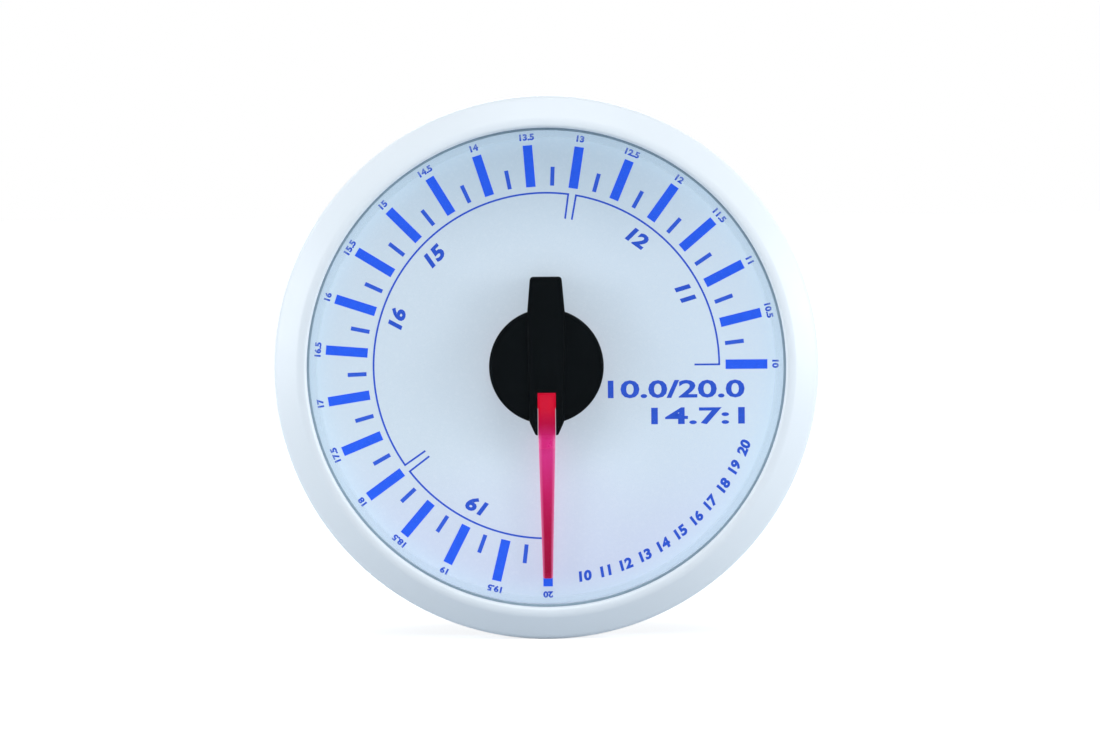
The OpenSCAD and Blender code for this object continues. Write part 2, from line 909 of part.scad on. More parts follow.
// Puts a part on the rear of the display board, beside the movement
module beside_movement(angle) {
    rotate([0, 0, angle]) translate([chip_at, 0, 0]) children();
}

module microcontroller() {
    reach = chip_size[0] / 2 + chip_pin_len;
    row = (chip_pins_a_side_count - 1) * chip_pin_pitch / 2;
    color([0.1, 0.1, 0.11]) face_on() beside_movement(chip_angle) {
        block(chip_size, z_motor);
        for (quarter = [0:3], i = [0:chip_pins_a_side_count - 1]) {
            rotate([0, 0, quarter * 90])
                translate([0, i * chip_pin_pitch - row - chip_pin_w / 2, z_motor])
                cube([reach, chip_pin_w, chip_pin_t]);
        }
    }
}

module crystal() {
    color("silver") face_on() beside_movement(crystal_angle) block(crystal_size, z_motor);
}

module voltage_regulator() {
    edge = regulator_size[0] / 2;
    reach = edge + regulator_tab[0];
    color([0.1, 0.1, 0.11]) face_on() beside_movement(regulator_angle) {
        block(regulator_size, z_motor);
        translate([-reach, -regulator_tab[1] / 2, z_motor])
            cube([reach, regulator_tab[1], regulator_tab[2]]);
        for (i = [-1:1]) {
            translate([0, i * regulator_size[1] / 3 - regulator_leg_w / 2, z_motor])
                cube([reach, regulator_leg_w, regulator_tab[2]]);
        }
    }
}

module board_screws() {
    color("silver") face_on() at_posts() screw(z_board - box_tab_t, screw_len);
}

// Connector board

// Room round the posts and their webs
module post_notches() {
    at_posts() {
        circle(post_r + part_gap);
        translate([0, -post_web / 2 - part_gap])
            square([post_inset + tray_gap, post_web + 2 * part_gap]);
    }
}

// Holes for one socket's row of pins
module socket_pin_holes(count, y) {
    side = socket_pin_w + 2 * pin_hole_gap;
    for (i = [0:count - 1]) {
        translate([(i - (count - 1) / 2) * pin_pitch - side / 2, y - side / 2]) square(side);
    }
}

module connector_board() {
    color([0.1, 0.35, 0.2]) face_on() slab(z_connector, z_connector_back) difference() {
        circle(tray_r - tray_gap);
        post_notches();
        link_holes();
        socket_pin_holes(power_pin_count, power_y);
        socket_pin_holes(sensor_pin_count, sensor_y);
        around(standoff_count, standoff_at, standoff_angle) circle(screw_r + hole_gap);
    }
}

module connector_board_screws() {
    color("silver") face_on() around(standoff_count, standoff_at, standoff_angle)
        screw(z_connector, connector_screw_len);
}

module smoothing_capacitors() {
    front = z_connector - capacitor_h;
    neck = z_connector - capacitor_foot - capacitor_neck;
    color([0.2, 0.22, 0.3]) face_on() for (side = [-1, 1]) {
        translate([side * capacitor_x, capacitor_y, 0]) {
            tube(z_connector - capacitor_foot, z_connector, capacitor_r + capacitor_foot);
            tube(neck, z_connector - capacitor_foot, capacitor_r - capacitor_groove);
            tube(front, neck, capacitor_r);
        }
    }
}

module protection_diode() {
    color([0.1, 0.1, 0.11]) face_on() translate(concat(diode_pos, [0]))
        block(diode_size, z_connector - diode_size[2]);
}

module link_header() {
    w = link_count * link_pitch;
    color([0.08, 0.08, 0.09]) face_on()
        for (z = [z_motor, z_connector - link_strip_t]) {
            slab(z, z + link_strip_t) difference() {
                translate([-w / 2, link_y - link_pitch / 2]) square([w, link_pitch]);
                link_holes();
            }
        }
}

module link_pins() {
    color([0.8, 0.7, 0.4]) face_on()
        for (i = [0:link_count - 1]) {
            translate([(i - (link_count - 1) / 2) * link_pitch, link_y, 0])
                block([link_w, link_w, z_connector_back - z_board + 2 * solder_len],
                    z_board - solder_len);
        }
}

// Sockets

function socket_width(count) = (count - 1) * pin_pitch + 2 * socket_side + 2 * socket_wall;
socket_height = socket_inner_h + 2 * socket_wall;
socket_mouth = z_back + socket_reach;

// An open box with a row of pins on its floor, a keyway in its wall and a latch on its back
module socket(count, y, up) {
    w = socket_width(count);
    floor_z = z_connector_back + socket_floor_t;
    translate([0, y, 0]) difference() {
        union() {
            block([w, socket_height, socket_mouth - z_connector_back], z_connector_back);
            translate([-latch_w / 2, up * (socket_height / 2 + latch_h / 2) - latch_h / 2,
                socket_mouth - latch_len]) cube([latch_w, latch_h, latch_len]);
        }
        block([w - 2 * socket_wall, socket_inner_h, socket_mouth - floor_z + overrun], floor_z);
        translate([-key_w / 2, -up * (socket_height - socket_wall) / 2 - socket_wall,
            socket_mouth - key_len]) cube([key_w, 2 * socket_wall, key_len + overrun]);
        slab(z_connector_back - overrun, floor_z + overrun) socket_pin_holes(count, 0);
    }
}

module socket_pins(count, y) {
    tip = z_connector_back + socket_floor_t + socket_pin_len;
    for (i = [0:count - 1]) {
        translate([(i - (count - 1) / 2) * pin_pitch, y, 0])
            block([socket_pin_w, socket_pin_w, tip - z_connector + solder_len],
                z_connector - solder_len);
    }
}

module power_socket() {
    color([0.9, 0.9, 0.86]) face_on() socket(power_pin_count, power_y, 1);
}

module power_socket_pins() {
    color([0.8, 0.78, 0.7]) face_on() socket_pins(power_pin_count, power_y);
}

module sensor_socket() {
    color([0.9, 0.9, 0.86]) face_on() socket(sensor_pin_count, sensor_y, -1);
}

module sensor_socket_pins() {
    color([0.8, 0.78, 0.7]) face_on() socket_pins(sensor_pin_count, sensor_y);
}

// Case

module housing() {
    lug_front = -lug_back - lug_w;
    color([0.06, 0.06, 0.07]) face_on() difference() {
        union() {
            rotate_extrude() polygon([
                [bore_r, z_cover],
                [barrel_r, z_cover],
                [barrel_r, 0],
                [flange_r, 0],
                [flange_r, z_rim],
                [rim_in_r, z_rim],
                [rim_in_r, z_guide],
                [bore_r, z_guide]
            ]);
            for (i = [0:lug_count - 1]) {
                rotate([0, 0, i * 360 / lug_count - lug_angle / 2])
                    translate([0, 0, lug_front]) rotate_extrude(angle = lug_angle)
                    translate([rim_in_r + rim_wall / 2, 0])
                    square([rim_wall / 2 + lug_h, lug_w]);
            }
            slab(z_motor, z_cover) at_posts() {
                circle(post_r);
                translate([0, -post_web / 2]) square([post_inset + body_wall / 2, post_web]);
            }
        }
        at_posts() {
            tube(z_motor - overrun, z_motor + pilot_depth, screw_r + hole_gap);
            tube(z_cover - pilot_depth, z_cover + overrun, screw_r + hole_gap);
        }
    }
}

module back_cover() {
    seat = z_back - screw_head_h;
    color([0.06, 0.06, 0.07]) face_on() difference() {
        union() {
            rotate_extrude() polygon([
                [0, z_cover],
                [barrel_r, z_cover],
                [barrel_r, z_back - cover_chamfer],
                [barrel_r - cover_chamfer, z_back],
                [0, z_back]
            ]);
            slab(z_cover - spigot_len, z_cover) difference() {
                circle(tray_r);
                circle(tray_r - spigot_wall);
                post_notches();
            }
            around(standoff_count, standoff_at, standoff_angle)
                tube(z_connector_back, z_cover + cover_t / 2, standoff_r);
            at_studs() tube(z_cover, z_back + stud_boss_h, stud_boss_r);
        }
        at_studs() tube(z_cover - overrun, z_back + stud_boss_h + overrun,
            stud_shoulder_r + hole_gap);
        around(standoff_count, standoff_at, standoff_angle)
            tube(z_connector_back - overrun, z_cover + cover_t / 2, screw_r + hole_gap);
        at_posts() {
            tube(z_cover - overrun, z_back + overrun, screw_r + hole_gap);
            tube(seat, z_back + overrun, screw_head_r + head_room);
        }
        socket_window(power_pin_count, power_y);
        socket_window(sensor_pin_count, sensor_y);
    }
}

// The hole that a socket passes through
module socket_window(count, y) {
    translate([0, y, 0]) block([
        socket_width(count) + 2 * part_gap,
        socket_height + 2 * part_gap,
        cover_t + 2 * overrun
    ], z_cover - overrun);
}

module cover_screws() {
    color("silver") face_on() at_posts() translate([0, 0, z_back - screw_head_h])
        rotate([180, 0, 0]) screw(0, screw_len);
}

module mounting_studs() {
    tip = z_back + stud_reach;
    color("silver") face_on() at_studs() {
        translate([0, 0, z_cover - stud_head_h])
            cylinder(h = stud_head_h, r = stud_head_r, $fn = 6);
        tube(z_cover - stud_head_h / 2, z_back + stud_boss_h, stud_shoulder_r);
        tube(z_cover, tip - stud_chamfer, stud_d / 2);
        translate([0, 0, tip - stud_chamfer])
            cylinder(h = stud_chamfer, r1 = stud_d / 2, r2 = stud_d / 2 - stud_chamfer);
    }
}

bezel();
lens_gasket();
lens();
spacer_ring();
dial();
light_guide();
light_box();
pointer();
pointer_cap();
balance_weight();
pointer_shaft();
output_wheel();
intermediate_wheel();
rotor_pinion();
rotor_magnet();
motor_front_case();
motor_rear_case();
wheel_axle();
rotor_axle();
stator_core();
coil_bobbins();
coil_windings();
motor_terminals();
display_board();
dial_leds();
pointer_leds();
led_resistors();
microcontroller();
crystal();
voltage_regulator();
board_screws();
connector_board();
connector_board_screws();
smoothing_capacitors();
protection_diode();
link_header();
link_pins();
power_socket();
power_socket_pins();
sensor_socket();
sensor_socket_pins();
housing();
back_cover();
cover_screws();
mounting_studs();
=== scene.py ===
import math

import bmesh
import bpy
from bpy.props import FloatProperty, FloatVectorProperty, IntProperty, PointerProperty
from mathutils import Matrix, Vector


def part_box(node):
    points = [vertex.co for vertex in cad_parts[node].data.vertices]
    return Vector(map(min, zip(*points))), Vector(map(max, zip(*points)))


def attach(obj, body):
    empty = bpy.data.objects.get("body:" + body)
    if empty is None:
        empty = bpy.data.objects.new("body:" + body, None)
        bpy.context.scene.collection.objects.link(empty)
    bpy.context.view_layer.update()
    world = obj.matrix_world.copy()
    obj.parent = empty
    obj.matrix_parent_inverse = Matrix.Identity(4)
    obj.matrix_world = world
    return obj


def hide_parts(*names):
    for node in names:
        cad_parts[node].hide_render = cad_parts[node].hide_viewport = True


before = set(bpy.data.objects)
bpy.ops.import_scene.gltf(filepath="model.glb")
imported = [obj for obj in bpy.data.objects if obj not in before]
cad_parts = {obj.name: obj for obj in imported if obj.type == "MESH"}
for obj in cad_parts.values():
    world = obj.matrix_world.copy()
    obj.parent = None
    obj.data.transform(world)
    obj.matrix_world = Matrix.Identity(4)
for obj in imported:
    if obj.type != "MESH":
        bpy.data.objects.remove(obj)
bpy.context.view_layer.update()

bl_info = {
    "name": "Air fuel ratio gauge",
    "version": (1, 0, 0),
    "blender": (4, 5, 0),
    "location": "View3D > Sidebar > Gauge",
    "description": "Makes the finished pieces, materials and studio of a round panel gauge",
    "category": "Object",
}


# Sizes and places, in millimetres until a piece is finished


class Extent:
    """The six sides of a CAD piece, in millimetres from where the gauge's axis meets the panel."""

    def __init__(self, node):
        low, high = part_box(node)
        self.left, self.front, self.bottom = [1000 * value for value in low]
        self.right, self.back, self.top = [1000 * value for value in high]


BEZEL = Extent("bezel")
GASKET = Extent("lens_gasket")
LENS = Extent("lens")
SPACER = Extent("spacer_ring")
DIAL = Extent("dial")
POINTER = Extent("pointer")
CAP = Extent("pointer_cap")
HOUSING = Extent("housing")
COVER = Extent("back_cover")
STUDS = Extent("mounting_studs")
POINTER_LENGTH = -POINTER.bottom

# Long marks where the scale's zones end, and those whose value is printed large inside the arc
ZONE_ENDS = (4, 14)
ZONE_FIGURES = (2, 8, 10, 16, 18)

# The studs and the cover's screws, as the CAD has them
STUD_RADIUS = 2.0
STUD_SHOULDER_RADIUS = 2.4
STUD_HEAD_REACH = 3.6
STUD_HEAD_THICK = 1.6
SCREW_CIRCLE = 21.6
SCREW_TURNS = (150, 270, 350)
SCREW_HEAD_RADIUS = 1.9
SCREW_HEAD_THICK = 1.2
SCREW_SHANK_RADIUS = 1.0
SCREW_LENGTH = 9.6
SCREW_SUNK = 1.0


def rgb(red, green, blue):
    """A colour as a screen shows it, 0 to 255, in the linear values that shaders use."""
    shares = [value / 255 for value in (red, green, blue)]
    return tuple(s / 12.92 if s <= 0.04045 else ((s + 0.055) / 1.055) ** 2.4 for s in shares)


def colour(name, text, *screen):
    """A colour that a user may change."""
    return FloatVectorProperty(
        name=name, description=text, subtype="COLOR", size=3, min=0, max=1, default=rgb(*screen)
    )


def length(name, text, default):
    """A size in millimetres that a user may change."""
    return FloatProperty(name=name, description=f"{text}, mm", default=default, min=0)


def angle(name, text, degrees):
    """An angle that a user may change."""
    return FloatProperty(name=name, description=text, default=math.radians(degrees), subtype="ANGLE")


def power(name, text, watts):
    """A lamp's power that a user may change."""
    return FloatProperty(name=name, description=text, default=watts, min=0, unit="POWER")


class FrontSettings(bpy.types.PropertyGroup):
    """The bezel, lens and dial plate."""

    lip_round: length("Lip round", "Radius of the bezel's inner lip", 0.42)
    lip_width: length("Lip width", "Flat land of the lip", 0.9)
    slope: angle("Slope", "How far the bezel's face leans back", 32)
    edge_round: length("Edge round", "Radius of the bezel's outer edge", 0.5)
    skirt_wall: length("Skirt wall", "Thickness of the bezel's skirt", 1.6)
    lens_pad: length("Lens pad", "How far the middle of the lens stands forward", 0.5)
    lens_bevel: length("Lens bevel", "Width of the bevel round the lens", 0.95)
    # Painted shade: the foam shows this far inside the lip to stand for the shadow in the seam
    gasket_shade_lip: length("Gasket lip", "How far the foam shows inside the bezel's lip", 0.27)
    # Painted shade: the foam's grey is darkened to match the shadowed seam
    bezel_colour: colour("Bezel", "White paint of the bezel", 236, 243, 248)
    gasket_and_seam_shade_colour: colour("Gasket", "Grey foam round the lens", 140, 160, 174)
    dial_colour: colour("Dial", "Ground colour of the dial", 207, 221, 232)


class ScaleSettings(bpy.types.PropertyGroup):
    """The print on the dial."""

    sweep: angle("Sweep", "Angle from the first mark to the last", 270)
    intervals: IntProperty(name="Intervals", description="Steps between long marks", default=20, min=2)
    print_depth: length("Print depth", "Thickness of the ink", 0.03)
    arc_radius: length("Arc radius", "Radius of the scale's arc", 19.2)
    line_width: length("Line width", "Width of the arc and dividers", 0.2)
    long_start: length("Long mark start", "Inner radius of the marks", 19.9)
    long_length: length("Long mark length", "Length of a long mark", 4.65)
    long_width: length("Long mark width", "Width of a long mark", 1.05)
    short_start: length("Short mark start", "Inner radius of a short mark", 20.0)
    short_length: length("Short mark length", "Length of a short mark", 2.1)
    short_width: length("Short mark width", "Width of a short mark", 0.45)
    divider_length: length("Divider length", "Length of the zone dividers", 2.75)
    divider_gap: angle("Divider gap", "Opening in the arc between two divider lines", 2.6)
    label_radius: length("Label radius", "Radius of the small figures", 25.45)
    label_height: length("Label height", "Height of the small figures", 0.74)
    zone_radius: length("Zone radius", "Radius of the zone figures", 17.4)
    zone_height: length("Zone height", "Height of the zone figures", 1.7)
    row_start: angle("Row start", "Where the lower row of figures starts, from 6 o'clock", 293)
    row_end: angle("Row end", "Where the lower row of figures ends", 350)
    row_radius: length("Row radius", "Radius of the lower row of figures", 23.75)
    row_height: length("Row height", "Height of the lower row's figures", 1.2)
    first_value: FloatProperty(name="First value", description="Value at the first mark", default=20)
    last_value: FloatProperty(name="Last value", description="Value at the last mark", default=10)
    ink: colour("Ink", "Blue of the long marks", 40, 93, 236)
    line_ink: colour("Line ink", "Darker blue of the lines and figures", 44, 84, 200)
    short_ink: colour("Short mark ink", "Blue of the short marks", 50, 92, 210)


class PointerSettings(bpy.types.PropertyGroup):
    """The pointer and its cap."""

    edge_round: length("Edge round", "Radius of the pointer's long edges", 0.22)
    root_width: length("Root width", "Width of the pointer in the cap's slot", 1.9)
    tip_width: length("Tip width", "Width of the pointer at its tip", 1.1)
    blade_gap: length("Blade gap", "From the dial to the back of the blade", 1.0)
    blade_thick: length("Blade thickness", "Thickness of the blade at its root", 1.2)
    tip_thick: length("Tip thickness", "Thickness of the blade near its tip", 0.74)
    root_length: length("Root length", "From the axis to the end of the raised root", 7.6)
    cap_edge_round: length("Cap edge round", "Radius of the cap's edges", 0.35)
    cap_wall: length("Cap wall", "Thickness of the cap's wall", 0.7)
    ridge_height: length("Ridge height", "How far the ridge stands above the cap's face", 0.4)
    slot_width: length("Slot width", "Width of the slot for the pointer", 2.02)
    slot_start: length("Slot start", "From the axis to the slot's closed end", 2.9)
    shaft_hole: length("Shaft hole", "Radius of the hole for the shaft", 0.8)
    root_colour: colour("Root", "Red at the root", 209, 15, 47)
    # Painted light: this pink stands for light leaving the blade
    middle_colour: colour("Middle", "Pink where light leaves the blade", 199, 47, 123)
    tip_colour: colour("Tip", "Red at the tip", 145, 6, 50)
    cap_colour: colour("Cap", "Black of the cap", 4, 7, 9)


class BodySettings(bpy.types.PropertyGroup):
    """The case, its cover and what is fixed to it."""

    edge_round: length("Edge round", "Radius of moulded edges", 0.15)
    thread_pitch: length("Thread pitch", "Pitch of the studs' thread", 0.7)
    thread_depth: length("Thread depth", "Depth of the studs' thread", 0.32)
    recess_width: length("Recess width", "Width of the cross recess's arms", 0.55)
    recess_reach: length("Recess reach", "From a screw's axis to the end of an arm", 1.25)
    recess_depth: length("Recess depth", "Depth of the cross recess", 0.8)
    case_colour: colour("Case", "Black of the case", 22, 23, 25)
    socket_colour: colour("Socket", "Natural nylon of the sockets", 226, 221, 204)
    board_colour: colour("Board", "Green of the circuit boards", 22, 84, 48)


class StageSettings(bpy.types.PropertyGroup):
    """The camera, lamps, floor and backdrop."""

    picture_width: length("Picture width", "Width of the picture at the dial", 122.2)
    distance: length("Camera distance", "From the camera to the dial", 900)
    elevation: angle("Elevation", "Height of the camera above the dial", 1.5)
    roll: angle("Roll", "Turn of the camera about its view", 0.45)
    lamp_distance: length("Lamp distance", "From each lamp to the gauge", 600)
    lamp_size: length("Lamp size", "Side of each square lamp", 300)
    side_angle: angle("Side lamps", "Angle between the view and each side lamp", 70)
    side_height: angle("Side lamp height", "How far up the side lamps stand", 8)
    top_height: angle("Top lamp height", "How far up the top lamp stands", 58)
    rear_height: angle("Rear lamp height", "How far up the rear lamp stands", 35)
    key_power: power("Key lamp", "Power of the right lamp", 2.4)
    fill_power: power("Fill lamp", "Power of the left lamp", 1.9)
    top_power: power("Top lamp", "Power of the top lamp", 1.0)
    rear_power: power("Rear lamp", "Power of the rear lamp", 1.6)
    sky_strength: FloatProperty(name="Sky", description="Strength of the light all round", default=0.38)
    sky_colour: colour("Sky colour", "Colour of the light all round", 240, 247, 255)


# Shader expressions


def maths(operation, reflected=False):
    """A method that adds a Math node on a value and the other operand, if there is one."""

    def method(self, *others):
        values = (*others, self) if reflected else (self, *others)
        return self.nodes.node("ShaderNodeMath", {"operation": operation}, dict(enumerate(values)))

    return method


class Value:
    """A node's output that can stand in an expression."""

    def __init__(self, nodes, socket):
        self.nodes = nodes
        self.socket = socket

    __add__ = maths("ADD")
    __radd__ = maths("ADD", reflected=True)
    __sub__ = maths("SUBTRACT")
    __rsub__ = maths("SUBTRACT", reflected=True)
    __mul__ = maths("MULTIPLY")
    __rmul__ = maths("MULTIPLY", reflected=True)
    __truediv__ = maths("DIVIDE")
    __rtruediv__ = maths("DIVIDE", reflected=True)
    __pow__ = maths("POWER")
    __rpow__ = maths("POWER", reflected=True)
    __abs__ = maths("ABSOLUTE")

    def __neg__(self):
        return self * -1


class Nodes:
    """A node tree, the nodes of a material or of the world."""

    def __init__(self, tree):
        self.tree = tree

    def feed(self, node, socket, value):
        """Gives a node's socket a value or a link."""
        target = node.inputs[socket]
        if isinstance(value, Value):
            self.tree.links.new(value.socket, target)
        elif target.type == "RGBA" and len(value) == 3:
            target.default_value = (*value, 1)
        else:
            target.default_value = value

    def node(self, kind, settings=None, sockets=None, output=0):
        """A node of this kind, its settings first, then what its sockets get."""
        node = self.tree.nodes.new(kind)
        for setting, value in (settings or {}).items():
            if setting == "stops":
                self.set_stops(node.color_ramp, value)
            else:
                setattr(node, setting, value)
        for socket, value in (sockets or {}).items():
            self.feed(node, socket, value)
        return Value(self, node.outputs[output])

    @staticmethod
    def set_stops(ramp, stops):
        """Fills a colour ramp with (place, colour) stops."""
        while len(ramp.elements) < len(stops):
            ramp.elements.new(1)
        for element, (place, tint) in zip(ramp.elements, stops):
            element.position = place
            element.color = (*tint, 1)

    def seen_directly(self):
        """1 for what the camera, gloss or glass sees, 0 for what only lights other things."""
        camera_ray = self.node("ShaderNodeLightPath")
        rays = camera_ray.socket.node.outputs
        glossy_ray = Value(self, rays["Is Glossy Ray"])
        glass_ray = Value(self, rays["Is Transmission Ray"])
        return self.fit(camera_ray + glossy_ray + glass_ray, 0, 1)

    def fit(self, value, low, high, to_low=0.0, to_high=1.0):
        """A value brought from one range smoothly to another."""
        return self.node(
            "ShaderNodeMapRange",
            {"interpolation_type": "SMOOTHSTEP"},
            {"Value": value, 1: low, 2: high, 3: to_low, 4: to_high},
        )

    def mix(self, share, first, second):
        """A blend of two colours."""
        return self.node(
            "ShaderNodeMix", {"data_type": "RGBA"}, {0: share, 6: first, 7: second}, output=2
        )


class Finish(Nodes):
    """One material: its main shader and the nodes that feed it."""

    def __init__(self, name, **sockets):
        self.material = bpy.data.materials.new(name)
        self.material.use_nodes = True
        super().__init__(self.material.node_tree)
        self.shader = self.tree.nodes["Principled BSDF"]
        self.shade(**sockets)

    def shade(self, **sockets):
        """Gives the main shader its values and what varies over the surface."""
        for socket, value in sockets.items():
            self.feed(self.shader, socket.replace("_", " ").title().replace("Ior", "IOR"), value)
        return self

    def place(self):
        """Object coordinates in millimetres: right, to the rear, up."""
        at = self.node("ShaderNodeTexCoord", output="Object")
        parts = self.node("ShaderNodeSeparateXYZ", sockets={0: at})
        node = parts.socket.node
        return [Value(self, node.outputs[i]) * 1000 for i in range(3)]

    def reach(self):
        """How far a point is from the gauge's axis, in millimetres."""
        right, _, up = self.place()
        return (right * right + up * up) ** 0.5

    def noise(self, size, detail=2.0, roughness=0.5, stretch=(1, 1, 1)):
        """Noise from 0 to 1 whose features are about this size in millimetres."""
        at = self.node("ShaderNodeTexCoord", output="Object")
        spread = self.node("ShaderNodeMapping", sockets={"Vector": at, "Scale": stretch})
        return self.node(
            "ShaderNodeTexNoise",
            sockets={
                "Vector": spread,
                "Scale": 1000 / size,
                "Detail": detail,
                "Roughness": roughness,
            },
        )

    def ramp(self, value, stops):
        """A colour read from stops."""
        return self.node("ShaderNodeValToRGB", {"stops": stops}, {0: value})

    def bump(self, height, distance):
        """Relief of this height in millimetres."""
        sockets = {"Height": height, "Distance": distance / 1000, "Strength": 1}
        return self.node("ShaderNodeBump", sockets=sockets)

    def paint_glow(self, tone):
        """Paints a glow in this colour on a part that is no lamp, as painted light, and gives the
        darker colour that it shows unlit.
        """
        self.shade(emission_color=tone)
        return self.mix(FACE_LOSS, tone, (0, 0, 0))

    def done(self, tone, mark, smooth, rough, relief=0):
        """The material in this colour, its gloss and any relief in millimetres led by a mark."""
        self.shade(base_color=tone, roughness=self.fit(mark, 0.3, 0.7, smooth, rough))
        if relief:
            self.shade(normal=self.bump(mark, relief))
        return self.material


# Painted light: how strongly the dial and its ink glow, standing in for even light on them though they
# are no lamp, and how much darker a glowing part's own colour is for that
PAINTED_GLOW = 0.6
FACE_LOSS = 0.45


def scaled(tint, factor):
    """A colour made lighter or darker."""
    return tuple(min(1, value * factor) for value in tint)


def moulded(name, tint, rough=0.42, grain=0.25, relief=0.012, shine=0.5):
    """Moulded plastic: a fine spark-eroded grain and a slight drift of tone."""
    finish = Finish(name, roughness=rough, ior=1.5, specular_ior_level=shine)
    cloud = finish.noise(9, 3)
    speck = finish.noise(grain, 2, 0.6)
    tone = finish.mix(cloud, scaled(tint, 0.86), scaled(tint, 1.14))
    tone = finish.mix(finish.fit(speck, 0.4, 0.75, 0, 0.35), tone, scaled(tint, 1.35))
    return finish.done(tone, speck, rough - 0.07, rough + 0.09, relief)


def metal(name, tint, rough=0.3, grain=0.5, stretch=(1, 1, 1), relief=0.004):
    """Plated or machined metal with fine marks and a slight bloom."""
    finish = Finish(name, metallic=1.0, roughness=rough)
    mark = finish.noise(grain, 4, 0.65, stretch)
    bloom = finish.noise(4, 3)
    tone = finish.mix(bloom, scaled(tint, 0.82), scaled(tint, 1.08))
    return finish.done(tone, mark, rough - 0.1, rough + 0.14, relief)


def ink(name, tint):
    """Screen-printed ink, slightly mottled where it is thin, with a painted glow."""
    finish = Finish(
        name, roughness=0.5, ior=1.45, specular_ior_level=0.2, emission_strength=PAINTED_GLOW
    )
    thin = finish.noise(0.5, 3, 0.6)
    tone = finish.mix(finish.fit(thin, 0.35, 0.7, 0, 0.4), tint, scaled(tint, 1.25))
    return finish.done(finish.paint_glow(tone), thin, 0.44, 0.58)


def painted_white(tint):
    """The bezel's satin white paint with its faint orange peel."""
    finish = Finish("bezel_white_paint", roughness=0.36, ior=1.5, specular_ior_level=0.3)
    peel = finish.noise(1.4, 1, 0.4)
    cloud = finish.noise(18, 2)
    tone = finish.mix(cloud, scaled(tint, 0.965), scaled(tint, 1.02))
    return finish.done(tone, peel, 0.33, 0.39, 0.004)


def dial_ground_painted_light(tint):
    """The dial's pale print over clear plastic, with a painted glow and painted light and shade across
    it.
    """
    finish = Finish("dial_ground_painted_light", roughness=0.55, ior=1.45, emission_strength=PAINTED_GLOW)
    right, _, up = finish.place()
    reach = finish.reach()
    cloud = finish.noise(14, 3, 0.45)
    speck = finish.noise(0.35, 2, 0.6)
    # Painted light: lighter towards the right, where the light falls
    tone = finish.mix(finish.fit(right, -24, 24), tint, rgb(211, 226, 239))
    # Bluer towards the bottom
    tone = finish.mix(finish.fit(-up - cloud * 8, 2, 22, 0, 0.8), tone, rgb(204, 211, 235))
    # Painted shade: darker towards the top, under the bezel's lip
    tone = finish.mix(finish.fit(up + cloud * 6, 14, 28, 0, 0.75), tone, rgb(186, 206, 220))
    # Painted shade: darker round the hub, under the cap
    tone = finish.mix(finish.fit(reach, 7, 14, 0.7, 0), tone, rgb(200, 213, 224))
    # Painted light: a lighter band along the rim
    tone = finish.mix(finish.fit(reach, 23, 26.5, 0, 0.6), tone, rgb(205, 227, 242))
    tone = finish.mix(finish.fit(speck, 0.45, 0.75, 0, 0.08), tone, rgb(245, 250, 255))
    return finish.done(finish.paint_glow(tone), speck, 0.5, 0.62, 0.002)


def lens_clear(pad):
    """Clear polycarbonate: what lies behind shows, the edge mirrors a little, and the bevel round the
    pad shows a painted sheen in the lens's pale tint.
    """
    tint = rgb(214, 232, 244)
    finish = Finish("lens_clear", base_color=tint, roughness=0.04, ior=1.5, alpha=0.03)
    dust = finish.noise(2.5, 4, 0.6)
    reach = finish.reach()
    turned_away = finish.node("ShaderNodeLayerWeight", sockets={"Blend": 0.5}, output="Facing")
    haze = finish.fit(dust, 0.55, 0.8, 0.0015, 0.0035)
    # Painted sheen: the bevel band is made partly opaque in the lens's pale tint
    bevel = finish.fit(reach, pad - 0.1, pad + 0.15, 0, 0.14)
    return finish.shade(
        alpha=turned_away ** 5 * 0.6 + haze + bevel,
        roughness=finish.fit(dust, 0.3, 0.7, 0.03, 0.07),
    ).material


def pointer_red(settings):
    """Clear red moulding with a painted glow, a pink middle painted as light leaving the blade, and
    painted highlights along its edges.
    """
    # Painted light: the pointer glows though it is no lamp
    finish = Finish(
        "pointer_red", roughness=0.35, ior=1.5, specular_ior_level=0.12, emission_strength=1.0
    )
    right, _, up = finish.place()
    along = -up / POINTER_LENGTH
    # Painted light: the pink along the middle stands for light leaving the blade
    body = finish.ramp(
        along,
        [
            (0.0, settings.root_colour),
            (0.2, scaled(settings.root_colour, 0.86)),
            (0.27, rgb(176, 8, 60)),
            (0.34, rgb(190, 36, 108)),
            (0.42, settings.middle_colour),
            (0.6, rgb(187, 28, 94)),
            (0.78, rgb(163, 12, 62)),
            (0.95, settings.tip_colour),
        ],
    )
    half_widths = (settings.root_width / 2, settings.tip_width / 2)
    half = finish.fit(-up, settings.root_length, POINTER_LENGTH, *half_widths)
    # Painted highlight: pale edges where the side bevels catch the light
    edge = finish.fit(abs(right) / half, 0.5, 1.0, 0, 0.6) * finish.fit(along, 0.3, 0.36)
    streak = finish.noise(1.2, 3, 0.5, (1, 1, 0.15))
    tone = finish.mix(finish.fit(streak, 0.4, 0.7, 0, 0.25), body, scaled(settings.tip_colour, 1.2))
    tone = finish.mix(edge, tone, rgb(226, 120, 168))
    return finish.done(finish.paint_glow(tone), streak, 0.26, 0.36)


def circuit_board(tint):
    """Green solder mask over copper tracks."""
    finish = Finish("circuit_board", roughness=0.35, ior=1.5)
    at = finish.node("ShaderNodeTexCoord", output="Object")
    tracks = finish.node(
        "ShaderNodeTexVoronoi",
        {"distance": "MANHATTAN", "feature": "F1"},
        {"Vector": at, "Scale": 420},
    )
    track = finish.fit(tracks, 0.42, 0.5)
    cloth = finish.noise(0.3, 2)
    tone = finish.mix(track, tint, scaled(tint, 1.7))
    tone = finish.mix(cloth * 0.3, tone, scaled(tint, 0.6))
    return finish.shade(normal=finish.bump(track, 0.02)).done(tone, cloth, 0.3, 0.42)


